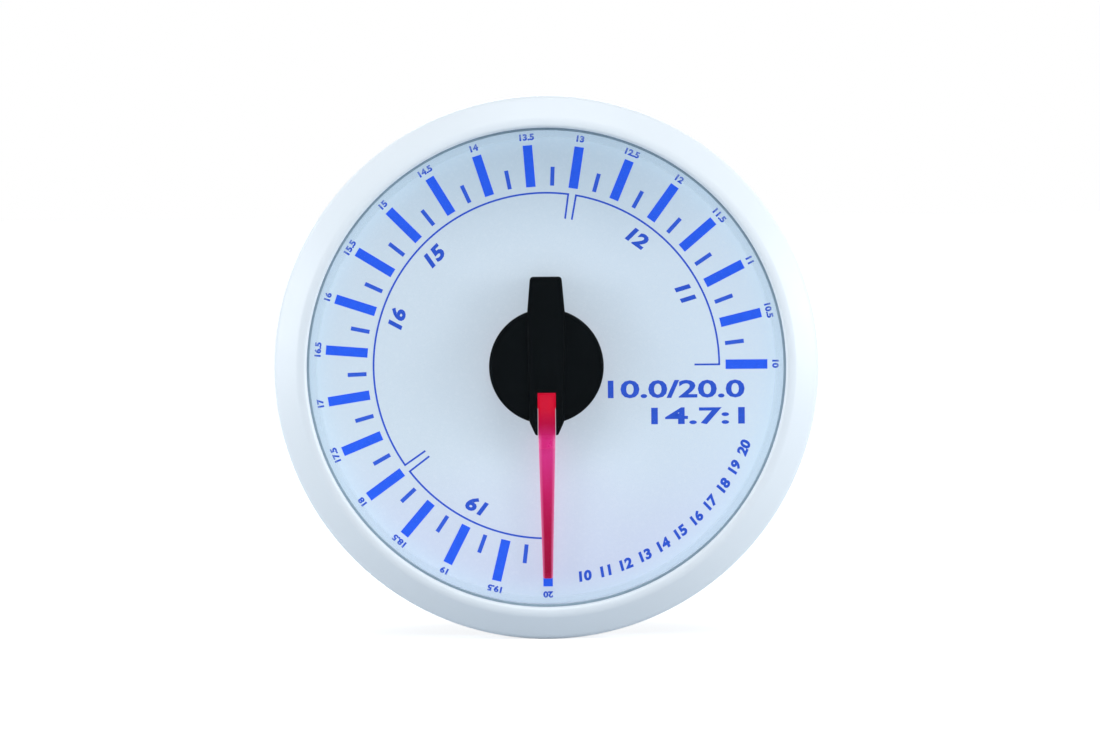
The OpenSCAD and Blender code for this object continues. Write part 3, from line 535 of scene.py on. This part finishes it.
def wound_wire(tint):
    """Enamelled copper wire wound in even turns, with painted shade in the grooves between them."""
    finish = Finish("copper_wire", metallic=0.85, roughness=0.3)
    wire_radius = 0.07
    right = finish.place()[0]
    turn = finish.node("ShaderNodeMath", {"operation": "PINGPONG"}, {0: right, 1: wire_radius})
    wire_relief_and_groove_shade = (turn / wire_radius) ** 0.5
    shade = finish.noise(1.2, 2)
    # Painted shade: the copper darkens into the grooves between turns
    tone = finish.mix(wire_relief_and_groove_shade, scaled(tint, 0.4), tint)
    tone = finish.mix(shade * 0.4, tone, scaled(tint, 1.3))
    return finish.shade(normal=finish.bump(wire_relief_and_groove_shade, 0.06)).done(tone, shade, 0.25, 0.38)


def light_pipe(name, tint, alpha, glow=0.0):
    """Clear or tinted plastic that passes light."""
    finish = Finish(name, roughness=0.12, ior=1.49, alpha=alpha)
    finish.shade(emission_color=tint, emission_strength=glow)
    flow = finish.noise(5, 3)
    fine = finish.noise(0.6, 2)
    return finish.done(finish.mix(flow, scaled(tint, 0.85), tint), fine, 0.08, 0.2, 0.004)


# Modelling


def ease(bm, geom, width, segments, affect="EDGES"):
    """Rounds edges or corners."""
    bmesh.ops.bevel(
        bm,
        geom=geom,
        offset=width,
        offset_type="OFFSET",
        segments=segments,
        profile=0.5,
        affect=affect,
        clamp_overlap=affect == "EDGES",
        material=-1,
    )


def rounded_face(bm, corners, segments):
    """A face through these points, each corner rounded by the radius that goes with it."""
    verts = [bm.verts.new(point) for point, _ in corners]
    bm.faces.new(verts)
    for vert, (_, radius) in zip(verts, corners):
        if radius:
            ease(bm, [vert], radius, segments, "VERTICES")


def at_angle(bm, turn):
    """Turns a bmesh clockwise about the gauge's axis, as the viewer sees it."""
    bmesh.ops.rotate(bm, verts=bm.verts, cent=(0, 0, 0), matrix=Matrix.Rotation(turn, 3, "Y"))
    return bm


def turned(points, steps, segments=5, sweep=math.tau, start=0.0):
    """A profile of (radius, depth, round) turned about the gauge's axis."""
    bm = bmesh.new()
    rounded_face(bm, [((point[0], point[1], 0), point[2]) for point in points], segments)
    bmesh.ops.delete(bm, geom=bm.faces[:], context="FACES_ONLY")
    on_axis = [e for e in bm.edges if all(abs(v.co.x) < 1e-6 for v in e.verts)]
    bmesh.ops.delete(bm, geom=on_axis, context="EDGES")
    whole = sweep == math.tau
    at_angle(bm, start)
    bmesh.ops.spin(
        bm,
        geom=bm.verts[:] + bm.edges[:],
        cent=(0, 0, 0),
        axis=(0, 1, 0),
        angle=sweep,
        steps=steps,
        use_merge=whole,
    )
    bmesh.ops.remove_doubles(bm, verts=bm.verts, dist=1e-4)
    if not whole:
        bmesh.ops.holes_fill(bm, edges=[e for e in bm.edges if e.is_boundary], sides=0)
    bmesh.ops.recalc_face_normals(bm, faces=bm.faces)
    return bm


def ring(inner, outer, front, back, front_round=0, back_round=0, **spin):
    """A ring of square section whose inner edges may be rounded."""
    return turned(
        [
            (inner, front, front_round),
            (outer, front, 0),
            (outer, back, 0),
            (inner, back, back_round),
        ],
        **spin,
    )


def prism(points, front, back, segments=4):
    """A flat outline of (x, z, round) with its thickness from front to back."""
    bm = bmesh.new()
    rounded_face(bm, [((point[0], front, point[1]), point[2]) for point in points], segments)
    grown = bmesh.ops.extrude_face_region(bm, geom=bm.faces[:])["geom"]
    moved = [item for item in grown if isinstance(item, bmesh.types.BMVert)]
    bmesh.ops.translate(bm, verts=moved, vec=(0, back - front, 0))
    bmesh.ops.recalc_face_normals(bm, faces=bm.faces)
    return bm


def bar(width, low, high, front, back):
    """A plain mark, centred on x, from one height to another."""
    half = width / 2
    return prism([(-half, low, 0), (half, low, 0), (half, high, 0), (-half, high, 0)], front, back)


def as_mesh(name, bm):
    """Turns a bmesh into a mesh."""
    mesh = bpy.data.meshes.new(name)
    bm.to_mesh(mesh)
    bm.free()
    return mesh


def placed(name, data):
    """A new object in the scene."""
    made = bpy.data.objects.new(name, data)
    bpy.context.scene.collection.objects.link(made)
    return made


def gather(parts):
    """One bmesh of several."""
    whole = bmesh.new()
    for part in parts:
        mesh = as_mesh("part", part)
        whole.from_mesh(mesh)
        bpy.data.meshes.remove(mesh)
    return whole


def moved_by(bm, *vector):
    """Shifts a bmesh."""
    bmesh.ops.translate(bm, verts=bm.verts, vec=vector)
    return bm


def soften(bm, width, segments, chosen=lambda edge: True):
    """Rounds the chosen edges that turn by more than 50 degrees."""
    sharp = math.radians(50)
    edges = [e for e in bm.edges if e.calc_face_angle(0) > sharp and chosen(e)]
    ease(bm, edges, width, segments)
    return bm


def piece(name, bm, finish, body="case", stands_for=(), sharp=38, flat=False):
    """Makes a bmesh in millimetres a piece of the gauge that rides on a body."""
    bmesh.ops.scale(bm, verts=bm.verts, vec=(0.001, 0.001, 0.001))
    for face in bm.faces:
        face.smooth = True
    for edge in bm.edges:
        edge.smooth = edge.calc_face_angle(0) < math.radians(sharp)
    made = placed(name, as_mesh(name, bm))
    made.data.materials.append(finish)
    if flat:
        made.modifiers.new("flat_faces", "WEIGHTED_NORMAL").keep_sharp = True
    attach(made, body)
    if stands_for:
        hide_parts(*stands_for)
    return made


def dress(nodes, finish):
    """CAD pieces keep their shape and take a finish."""
    for node in nodes:
        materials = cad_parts[node].data.materials
        materials.clear()
        materials.append(finish)


def cut_out(bm, cutter):
    """Takes one bmesh out of another."""
    objects = [placed("work", as_mesh("work", part)) for part in (bm, cutter)]
    modifier = objects[0].modifiers.new("cut", "BOOLEAN")
    modifier.operation = "DIFFERENCE"
    modifier.solver = "EXACT"
    modifier.object = objects[1]
    depsgraph = bpy.context.evaluated_depsgraph_get()
    result = bmesh.new()
    result.from_object(objects[0], depsgraph)
    for work in objects:
        mesh = work.data
        bpy.data.objects.remove(work)
        bpy.data.meshes.remove(mesh)
    return result


def merged_copy(node):
    """A copy of a CAD piece in millimetres, its loose triangles joined and its flat faces whole."""
    bm = bmesh.new()
    bm.from_mesh(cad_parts[node].data)
    bmesh.ops.scale(bm, verts=bm.verts, vec=(1000, 1000, 1000))
    bmesh.ops.remove_doubles(bm, verts=bm.verts, dist=2e-3)
    bmesh.ops.dissolve_limit(
        bm, angle_limit=math.radians(0.5), verts=bm.verts[:], edges=bm.edges[:]
    )
    return bm


def eased_copy(node, name, finish, settings):
    """A piece with the shape of a CAD piece whose moulded edges are eased."""
    bm = soften(merged_copy(node), settings.edge_round, 2)
    piece(name, bm, finish, stands_for=[node], flat=True)


def span(bm, axis):
    """The least and greatest place of a bmesh along an axis."""
    places = [v.co[axis] for v in bm.verts]
    return min(places), max(places)


def printed(text, height, depth, wide=1.0, slant=0.0, weight=0.0):
    """Figures of this height, centred, that lie on the dial as ink of this depth."""
    curve = bpy.data.curves.new("figures", "FONT")
    curve.body = text
    curve.align_x = "CENTER"
    curve.shear = slant
    curve.offset = weight
    curve.resolution_u = 3
    curve.extrude = depth / 2
    source = bpy.data.objects.new("figures", curve)
    mesh = bpy.data.meshes.new_from_object(source)
    bm = bmesh.new()
    bm.from_mesh(mesh)
    bpy.data.objects.remove(source)
    bpy.data.curves.remove(curve)
    bpy.data.meshes.remove(mesh)
    bmesh.ops.remove_doubles(bm, verts=bm.verts, dist=1e-4)
    bmesh.ops.rotate(bm, verts=bm.verts, cent=(0, 0, 0), matrix=Matrix.Rotation(math.pi / 2, 3, "X"))
    left, right = span(bm, 0)
    low, high = span(bm, 2)
    size = height / (high - low)
    moved_by(bm, -(left + right) / 2, DIAL.front - depth / 2, -(low + high) / 2)
    bmesh.ops.scale(bm, verts=bm.verts, vec=(size * wide, 1, size))
    return bm


class Undoable:
    """What every operator shares: a place in the undo list."""

    bl_options = {"REGISTER", "UNDO"}


# The front of the gauge


class GAUGE_OT_bezel(Undoable, bpy.types.Operator):
    """White bezel with a rounded lip, a face that leans back and a thin skirt"""

    bl_idname = "gauge.bezel"
    bl_label = "Bezel"

    def execute(self, context):
        s = context.scene.gauge_front
        window = LENS.right - s.lip_width
        edge = BEZEL.front + (BEZEL.right - LENS.right) * math.tan(s.slope)
        skirt = BEZEL.right - s.skirt_wall
        bore = LENS.right + 0.1
        step = HOUSING.front - 0.2
        bm = turned(
            [
                (window, GASKET.front, 0),
                (window, BEZEL.front, s.lip_round),
                (LENS.right, BEZEL.front, 0.35),
                (BEZEL.right, edge, s.edge_round),
                (BEZEL.right, BEZEL.back, 0.3),
                (skirt, BEZEL.back, 0.1),
                (skirt, step, 0),
                (bore, step, 0),
                (bore, GASKET.front, 0),
            ],
            steps=256,
            segments=8,
        )
        piece("bezel_ring", bm, painted_white(s.bezel_colour), stands_for=["bezel"],
              sharp=50)
        return {"FINISHED"}


class GAUGE_OT_lens(Undoable, bpy.types.Operator):
    """Clear lens with a bevelled pad, and the foam gasket that clamps it, whose inner edge shows inside
    the bezel's lip in a darkened grey as painted shade of the seam
    """

    bl_idname = "gauge.lens"
    bl_label = "Lens and gasket"

    def execute(self, context):
        s = context.scene.gauge_front
        pad = LENS.right - s.lip_width - 0.15 - s.lens_bevel
        bm = turned(
            [
                (0, LENS.front, 0),
                (pad, LENS.front, 0.12),
                (pad + s.lens_bevel, LENS.front + s.lens_pad, 0.06),
                (LENS.right, LENS.front + s.lens_pad, 0),
                (LENS.right, LENS.back, 0),
                (0, LENS.back, 0),
            ],
            steps=256,
        )
        piece("lens_glass", bm, lens_clear(pad), stands_for=["lens"], sharp=20)
        # Painted shade: the foam's inner edge reaches into view, darkened, to stand for the shadow in
        # the seam between the bezel's lip and the lens
        seam_shade_edge = GASKET.right - s.lip_width - s.gasket_shade_lip
        gasket = turned(
            [
                (seam_shade_edge, GASKET.front + 0.02, 0.08),
                (GASKET.right, GASKET.front, 0),
                (GASKET.right, GASKET.back, 0),
                (seam_shade_edge + 0.28, GASKET.back, 0),
                (seam_shade_edge, GASKET.front + 0.22, 0.08),
            ],
            steps=256,
        )
        foam_and_seam_shade = moulded("gasket_foam_seam_shade", s.gasket_and_seam_shade_colour, 0.85, 0.3, 0.03, shine=0.2)
        piece("gasket_ring", gasket, foam_and_seam_shade, stands_for=["lens_gasket"])
        return {"FINISHED"}


class GAUGE_OT_dial(Undoable, bpy.types.Operator):
    """Dial plate, and the white ring between it and the lens"""

    bl_idname = "gauge.dial"
    bl_label = "Dial and spacer ring"

    def execute(self, context):
        s = context.scene.gauge_front
        bore = 3.2
        plate = ring(bore, DIAL.right, DIAL.front, DIAL.back, 0.04, steps=192)
        piece("dial_plate", plate, dial_ground_painted_light(s.dial_colour), stands_for=["dial"])
        inner = SPACER.right - s.lip_width
        wall = ring(inner, SPACER.right, SPACER.front, SPACER.back, 0.15, 0.05, steps=192)
        white = moulded("spacer_white", rgb(214, 228, 238), 0.5, 0.3, 0.006)
        piece("spacer_wall", wall, white, stands_for=["spacer_ring"])
        return {"FINISHED"}


class GAUGE_OT_scale(Undoable, bpy.types.Operator):
    """Blue marks, arc and zone dividers printed on the dial"""

    bl_idname = "gauge.scale"
    bl_label = "Scale marks"

    def execute(self, context):
        s = context.scene.gauge_scale
        front = DIAL.front - s.print_depth
        step = s.sweep / s.intervals

        def mark(start, size, width, turn):
            return at_angle(bar(width, start, start + size, front, DIAL.front), turn - math.pi)

        long_marks = [
            mark(s.long_start, s.long_length, s.long_width, i * step) for i in range(s.intervals + 1)
        ]
        piece("scale_long_marks", gather(long_marks), ink("ink_blue", s.ink))
        short_marks = [
            mark(s.short_start, s.short_length, s.short_width, (i + 0.5) * step)
            for i in range(s.intervals)
        ]
        piece("scale_short_marks", gather(short_marks), ink("ink_short", s.short_ink))

        lines = []
        gap = s.divider_gap / 2
        ends = [0]
        for end in ZONE_ENDS:
            ends += [end * step - gap, end * step + gap]
        ends.append(s.sweep)
        half_line = s.line_width / 2
        for first, last in zip(ends[::2], ends[1::2]):
            lines.append(
                ring(
                    s.arc_radius - half_line,
                    s.arc_radius + half_line,
                    front,
                    DIAL.front,
                    steps=max(8, round(math.degrees(last - first) / 2)),
                    sweep=last - first,
                    start=math.pi / 2 + first,
                )
            )
        inner = s.arc_radius - s.divider_length
        for turn in ends[1:]:
            lines.append(mark(inner, s.divider_length + half_line, s.line_width, turn))
        piece("scale_lines", gather(lines), ink("ink_line", s.line_ink))
        return {"FINISHED"}


class GAUGE_OT_figures(Undoable, bpy.types.Operator):
    """Plain figures printed on the dial"""

    bl_idname = "gauge.figures"
    bl_label = "Figures"

    def execute(self, context):
        s = context.scene.gauge_scale
        step = s.sweep / s.intervals
        change = (s.last_value - s.first_value) / s.intervals

        def value_at(value, radius, height, turn, **look):
            bm = printed(f"{value:g}", height, s.print_depth, **look)
            return at_angle(moved_by(bm, 0, 0, radius), turn)

        def mark_value(i, radius, height, **look):
            return value_at(s.first_value + i * change, radius, height, i * step - math.pi, **look)

        small = [
            mark_value(i, s.label_radius, s.label_height, wide=1.15, weight=0.05)
            for i in range(s.intervals + 1)
        ]
        zones = [
            mark_value(i, s.zone_radius, s.zone_height, wide=1.2, slant=0.15, weight=0.045)
            for i in ZONE_FIGURES
        ]
        blue = ink("ink_figures", s.line_ink)
        piece("scale_figures", gather(small), blue)
        piece("zone_figures", gather(zones), blue)

        block = []
        block_right = 22.0
        for text, width, height, up in (("10.0/20.0", 15.2, 2.0, -2.7), ("14.7:1", 10.4, 1.9, -5.7)):
            bm = printed(text, height, s.print_depth, weight=0.025)
            left, right = span(bm, 0)
            bmesh.ops.scale(bm, verts=bm.verts, vec=(width / (right - left), 1, 1))
            block.append(moved_by(bm, block_right - width / 2, 0, up))
        piece("range_figures", gather(block), blue)

        row = []
        values = int(s.first_value - s.last_value)
        for i in range(values + 1):
            turn = s.row_start + (s.row_end - s.row_start) * i / values
            look = {"wide": 1.1, "slant": 0.1, "weight": 0.05}
            row.append(value_at(s.first_value - i, -s.row_radius, s.row_height, turn, **look))
        piece("row_figures", gather(row), blue)
        return {"FINISHED"}


class GAUGE_OT_pointer(Undoable, bpy.types.Operator):
    """Tapered clear red pointer whose raised root shows in the cap's slot"""

    bl_idname = "gauge.pointer"
    bl_label = "Pointer"

    def execute(self, context):
        s = context.scene.gauge_pointer
        back = DIAL.front - s.blade_gap
        blade = back - s.blade_thick
        tip_front = back - s.tip_thick
        root = s.root_length
        taper = (s.root_width - s.tip_width) / 2 / (POINTER_LENGTH - root)

        slot_gap, root_slope, tip_slope = 0.06, 1.6, 0.6
        stations = [
            (s.slot_start + slot_gap, POINTER.front),
            (root, POINTER.front),
            (root + 0.5, POINTER.front + 0.35),
            (root + root_slope, blade),
            (POINTER_LENGTH - tip_slope, tip_front),
            (POINTER_LENGTH, tip_front + 0.12),
        ]
        half = s.root_width / 2
        corners = [(-half, POINTER.front), (half, POINTER.front), (half, back), (-half, back)]
        bm = bmesh.new()
        face = bm.faces.new([bm.verts.new((x, y, -stations[0][0])) for x, y in corners])
        for reach, front in stations[1:]:
            half = s.root_width / 2 - taper * max(0, reach - root)
            grown = bmesh.ops.extrude_face_region(bm, geom=[face])["geom"]
            face = next(item for item in grown if isinstance(item, bmesh.types.BMFace))
            for vert in face.verts:
                near = vert.co.y < back - 0.1
                vert.co = (math.copysign(half, vert.co.x), front if near else back, -reach)
        bmesh.ops.recalc_face_normals(bm, faces=bm.faces)
        soften(bm, s.edge_round, 4, lambda e: min(v.co.y for v in e.verts) < back - 0.1)
        bore, collar, hub = 0.75, 2.3, 4.8
        wheel = turned(
            [
                (bore, blade, 0),
                (hub, blade, 0.2),
                (hub, back, 0.1),
                (collar, back, 0),
                (collar, POINTER.back, 0.1),
                (bore, POINTER.back, 0),
            ],
            steps=96,
        )
        piece("pointer_blade", gather([bm, wheel]), pointer_red(s), body="needle",
              stands_for=["pointer"], sharp=60)
        return {"FINISHED"}


class GAUGE_OT_cap(Undoable, bpy.types.Operator):
    """Black cap with a ridge that runs out into a tail, slotted for the pointer"""

    bl_idname = "gauge.cap"
    bl_label = "Pointer cap"

    def execute(self, context):
        s = context.scene.gauge_pointer
        black = moulded("cap_black", s.cap_colour, 0.5, 0.3, 0.005, shine=0.03)
        face = CAP.front + s.ridge_height
        inner = CAP.right - s.cap_wall
        ceiling = face + s.cap_wall
        disc = turned(
            [
                (s.shaft_hole, face, 0),
                (CAP.right, face, s.cap_edge_round),
                (CAP.right, CAP.back, 0.08),
                (inner, CAP.back, 0.05),
                (inner, ceiling, 0),
                (s.shaft_hole, ceiling, 0),
            ],
            steps=160,
        )
        # The ridge at its lower end, where it leaves the disc below and above, and at its top
        leaves_below, leaves_above = -6.16, 5.84
        right_side = [
            (1.25, CAP.bottom, 0.15),
            (1.9, leaves_below, 0),
            (2.1, leaves_above, 0),
            (1.75, CAP.top, 0.35),
        ]
        left_side = [(-x, z, radius) for x, z, radius in reversed(right_side)]
        ridge = prism(left_side + right_side, CAP.front, CAP.back)
        soften(ridge, 0.25, 4, lambda e: max(v.co.y for v in e.verts) < face)
        parts = []
        for part in (disc, ridge):
            slot = bar(s.slot_width, CAP.bottom - 1, -s.slot_start, CAP.front - 1, CAP.back + 1)
            parts.append(cut_out(part, slot))
        piece("cap_shell", gather(parts), black, body="needle", stands_for=["pointer_cap"])
        return {"FINISHED"}


# The rear of the gauge


class GAUGE_OT_case(Undoable, bpy.types.Operator):
    """Housing and back cover with their moulded edges eased"""

    bl_idname = "gauge.case"
    bl_label = "Case"

    def execute(self, context):
        s = context.scene.gauge_body
        black = moulded("case_black", s.case_colour, 0.45, 0.35, 0.012, shine=0.3)
        eased_copy("housing", "case_barrel", black, s)
        eased_copy("back_cover", "case_cover", black, s)
        return {"FINISHED"}


class GAUGE_OT_fixings(Undoable, bpy.types.Operator):
    """Threaded studs, cross-recessed cover screws, and zinc on the boards' screws"""

    bl_idname = "gauge.fixings"
    bl_label = "Studs and screws"

    def execute(self, context):
        s = context.scene.gauge_body
        zinc = metal("zinc_plate", rgb(168, 174, 182), 0.34, 0.9, relief=0.001)
        dress(["board_screws", "connector_board_screws"], zinc)
        centre = STUDS.right - STUD_HEAD_REACH
        studs = [moved_by(self.make_stud(s), x, 0, 0) for x in (-centre, centre)]
        piece("stud_threads", gather(studs), zinc, stands_for=["mounting_studs"],
              flat=True)
        screws = [
            moved_by(self.make_screw(s), SCREW_CIRCLE * math.cos(at), 0, -SCREW_CIRCLE * math.sin(at))
            for at in map(math.radians, SCREW_TURNS)
        ]
        piece("cover_screw_heads", gather(screws), zinc, stands_for=["cover_screws"],
              flat=True)
        return {"FINISHED"}

    def make_stud(self, s):
        """A hexagon head, a plain shoulder through the cover and a threaded end."""
        root = STUD_RADIUS - s.thread_depth
        head_back = STUDS.front + STUD_HEAD_THICK
        turns = [math.radians(60 * i) for i in range(6)]
        corners = [(STUD_HEAD_REACH * math.cos(a), STUD_HEAD_REACH * math.sin(a), 0) for a in turns]
        head = soften(prism(corners, STUDS.front, head_back), 0.2, 2)
        body = turned(
            [
                (0, head_back - 0.1, 0),
                (STUD_SHOULDER_RADIUS, head_back - 0.1, 0),
                (STUD_SHOULDER_RADIUS, COVER.back, 0.15),
                (root, COVER.back, 0.1),
                (root, STUDS.back, 0.35),
                (0, STUDS.back, 0),
            ],
            steps=48,
        )
        return gather([head, body, self.make_thread(root, s.thread_pitch)])

    def make_thread(self, root, pitch):
        """A ridge that winds round a stud from behind the cover to near its end."""
        first = COVER.back + 0.6
        last = STUDS.back - 0.5
        steps_a_turn = 24
        steps = round((last - first) / pitch * steps_a_turn)
        bm = bmesh.new()
        half = 0.45 * pitch
        crest = 0.06 * pitch
        section = [
            (root - 0.05, first - half),
            (STUD_RADIUS, first - crest),
            (STUD_RADIUS, first + crest),
            (root - 0.05, first + half),
        ]
        verts = [bm.verts.new((reach, depth, 0)) for reach, depth in section]
        bm.faces.new(verts)
        bmesh.ops.spin(
            bm,
            geom=bm.verts[:] + bm.edges[:] + bm.faces[:],
            cent=(0, 0, 0),
            axis=(0, 1, 0),
            dvec=(0, pitch / steps_a_turn, 0),
            angle=math.tau * steps / steps_a_turn,
            steps=steps,
        )
        bmesh.ops.recalc_face_normals(bm, faces=bm.faces)
        return bm

    def make_screw(self, s):
        """A pan head with a cross recess on a plain shank."""
        top = COVER.back - SCREW_SUNK
        under = top - SCREW_HEAD_THICK
        tip = top - SCREW_LENGTH
        screw = turned(
            [
                (0, top, 0),
                (SCREW_HEAD_RADIUS, top - 0.05, 0.5),
                (SCREW_HEAD_RADIUS, under, 0.08),
                (SCREW_SHANK_RADIUS, under, 0),
                (SCREW_SHANK_RADIUS, tip + 0.6, 0.3),
                (0, tip, 0),
            ],
            steps=48,
        )
        arm = s.recess_width / 2
        for turn in (math.pi / 4, 3 * math.pi / 4):
            cutter = bar(s.recess_reach * 2, -arm, arm, top - s.recess_depth, top + 1)
            screw = cut_out(screw, at_angle(cutter, turn))
        return screw


class GAUGE_OT_sockets(Undoable, bpy.types.Operator):
    """Nylon sockets, and tin on their pins and the motor's terminals"""

    bl_idname = "gauge.sockets"
    bl_label = "Sockets"

    def execute(self, context):
        s = context.scene.gauge_body
        nylon = moulded("socket_nylon", s.socket_colour, 0.4)
        eased_copy("power_socket", "power_shell", nylon, s)
        eased_copy("sensor_socket", "sensor_shell", nylon, s)
        tin = metal("tinned_brass", rgb(205, 203, 196), 0.25, 0.2)
        dress(["power_socket_pins", "sensor_socket_pins", "motor_terminals"], tin)
        return {"FINISHED"}


class GAUGE_OT_inside(Undoable, bpy.types.Operator):
    """Finishes of the movement, boards and light box, whose shapes are the CAD's"""

    bl_idname = "gauge.inside"
    bl_label = "Inside"

    def execute(self, context):
        s = context.scene.gauge_body
        finishes = {
            light_pipe("light_guide_clear", rgb(228, 238, 245), 0.45): ["light_guide"],
            moulded("reflector_white", rgb(236, 238, 238), 0.6): ["light_box"],
            moulded("motor_black", rgb(30, 31, 34), 0.4): ["motor_front_case", "motor_rear_case"],
            metal("axle_steel", rgb(200, 202, 205), 0.18, 0.3): [
                "wheel_axle", "rotor_axle", "pointer_shaft",
            ],
            metal("stator_steel", rgb(150, 152, 156), 0.4, 0.25, (1, 8, 1)): ["stator_core"],
            moulded("bobbin_resin", rgb(222, 217, 200), 0.45): ["coil_bobbins"],
            wound_wire(rgb(190, 108, 56)): ["coil_windings"],
            moulded("gear_resin", rgb(234, 233, 224), 0.38): [
                "output_wheel", "intermediate_wheel", "rotor_pinion",
            ],
            metal("magnet_ferrite", rgb(84, 84, 90), 0.5, 0.3): ["rotor_magnet"],
            metal("weight_brass", rgb(196, 160, 88), 0.3, 0.4): ["balance_weight"],
            circuit_board(s.board_colour): ["display_board", "connector_board"],
            light_pipe("led_yellow", rgb(246, 232, 160), 1.0, 0.2): ["dial_leds"],
            light_pipe("led_red", rgb(226, 60, 60), 1.0, 0.2): ["pointer_leds"],
            moulded("chip_black", rgb(30, 30, 32), 0.5, 0.2): [
                "microcontroller", "voltage_regulator", "protection_diode", "led_resistors",
            ],
            metal("can_steel", rgb(190, 190, 192), 0.25, 0.4): ["crystal", "smoothing_capacitors"],
            moulded("header_black", rgb(26, 26, 28), 0.5): ["link_header"],
            metal("gold_pins", rgb(214, 178, 98), 0.22, 0.2): ["link_pins"],
        }
        for finish, nodes in finishes.items():
            dress(nodes, finish)
        return {"FINISHED"}


# The studio


def lamp(name, settings, side, height, watts):
    """A soft square lamp this far to the side of the view and above it, aimed at the gauge."""
    light = bpy.data.lights.new(name, "AREA")
    light.energy = watts
    light.size = settings.lamp_size / 1000
    made = placed(name, light)
    level = math.cos(height)
    away = Vector((math.sin(side) * level, -math.cos(side) * level, math.sin(height)))
    made.location = away * settings.lamp_distance / 1000
    made.rotation_euler = away.to_track_quat("Z", "Y").to_euler()


class GAUGE_OT_stage(Undoable, bpy.types.Operator):
    """Pale floor, white surroundings, soft lamps and the camera"""

    bl_idname = "gauge.stage"
    bl_label = "Stage"

    def execute(self, context):
        scene = context.scene
        s = scene.gauge_stage
        self.make_floor()
        scene.world = self.make_sky(s)
        lamp("lamp_key", s, s.side_angle, s.side_height, s.key_power)
        lamp("lamp_fill", s, -s.side_angle, s.side_height, s.fill_power)
        lamp("lamp_top", s, 0, s.top_height, s.top_power)
        lamp("lamp_rear", s, math.pi, s.rear_height, s.rear_power)
        scene.camera = self.make_camera(s)
        scene.view_settings.view_transform = "Standard"
        return {"FINISHED"}

    def make_floor(self):
        """A wide pale plane under the bezel."""
        bm = bmesh.new()
        bmesh.ops.create_grid(bm, x_segments=1, y_segments=1, size=6)
        floor = placed("floor", as_mesh("floor", moved_by(bm, 0, 0, BEZEL.bottom / 1000)))
        finish = Finish("floor_white", roughness=0.9, base_color=rgb(178, 188, 198))
        finish.shade(emission_color=(1, 1, 1), emission_strength=finish.seen_directly() * 0.8)
        floor.data.materials.append(finish.material)

    def make_sky(self, s):
        """White where the camera, glass or gloss sees it, softer as light."""
        world = bpy.data.worlds.new("studio")
        world.use_nodes = True
        sky = Nodes(world.node_tree)
        light = scaled(s.sky_colour, s.sky_strength)
        shown = sky.mix(sky.seen_directly(), light, (1, 1, 1))
        sky.feed(sky.tree.nodes["Background"], "Color", shown)
        return world

    def make_camera(self, s):
        """A long lens straight in front, slightly above the dial's middle."""
        data = bpy.data.cameras.new("camera")
        data.sensor_width = 36
        data.lens = data.sensor_width * s.distance / s.picture_width
        data.clip_start = 0.01
        camera = placed("camera", data)
        aim = Vector((0.0004, DIAL.front / 1000, -0.0001))
        back = Vector((0, -math.cos(s.elevation), math.sin(s.elevation))) * s.distance / 1000
        camera.location = aim + back
        look = (-back).to_track_quat("-Z", "Y").to_matrix().to_4x4()
        camera.rotation_euler = (look @ Matrix.Rotation(-s.roll, 4, "Z")).to_euler()
        return camera


# Add-on


class GAUGE_PT_sidebar(bpy.types.Panel):
    """The gauge's pieces, one button each"""

    bl_idname = "GAUGE_PT_sidebar"
    bl_label = "Gauge"
    bl_space_type = "VIEW_3D"
    bl_region_type = "UI"
    bl_category = "Gauge"

    def draw(self, context):
        for group in SETTINGS:
            box = self.layout.box()
            settings = getattr(context.scene, group)
            for name in settings.bl_rna.properties.keys():
                if name not in ("rna_type", "name"):
                    box.prop(settings, name)
        for operator in OPERATORS:
            self.layout.operator(operator.bl_idname)


SETTINGS = {
    "gauge_front": FrontSettings,
    "gauge_scale": ScaleSettings,
    "gauge_pointer": PointerSettings,
    "gauge_body": BodySettings,
    "gauge_stage": StageSettings,
}

OPERATORS = (
    GAUGE_OT_bezel,
    GAUGE_OT_lens,
    GAUGE_OT_dial,
    GAUGE_OT_scale,
    GAUGE_OT_figures,
    GAUGE_OT_pointer,
    GAUGE_OT_cap,
    GAUGE_OT_case,
    GAUGE_OT_fixings,
    GAUGE_OT_sockets,
    GAUGE_OT_inside,
    GAUGE_OT_stage,
)


def register():
    """Registers the settings, the operators and the panel."""
    for name, settings in SETTINGS.items():
        bpy.utils.register_class(settings)
        setattr(bpy.types.Scene, name, PointerProperty(type=settings))
    for operator in OPERATORS:
        bpy.utils.register_class(operator)
    bpy.utils.register_class(GAUGE_PT_sidebar)


def unregister():
    """Takes them out again."""
    bpy.utils.unregister_class(GAUGE_PT_sidebar)
    for operator in reversed(OPERATORS):
        bpy.utils.unregister_class(operator)
    for name, settings in reversed(SETTINGS.items()):
        delattr(bpy.types.Scene, name)
        bpy.utils.unregister_class(settings)


def main():
    """Makes every piece and the stage."""
    register()
    for operator in OPERATORS:
        group, name = operator.bl_idname.split(".")
        getattr(getattr(bpy.ops, group), name)()
    bpy.context.view_layer.update()


if __name__ == "__main__":
    main()
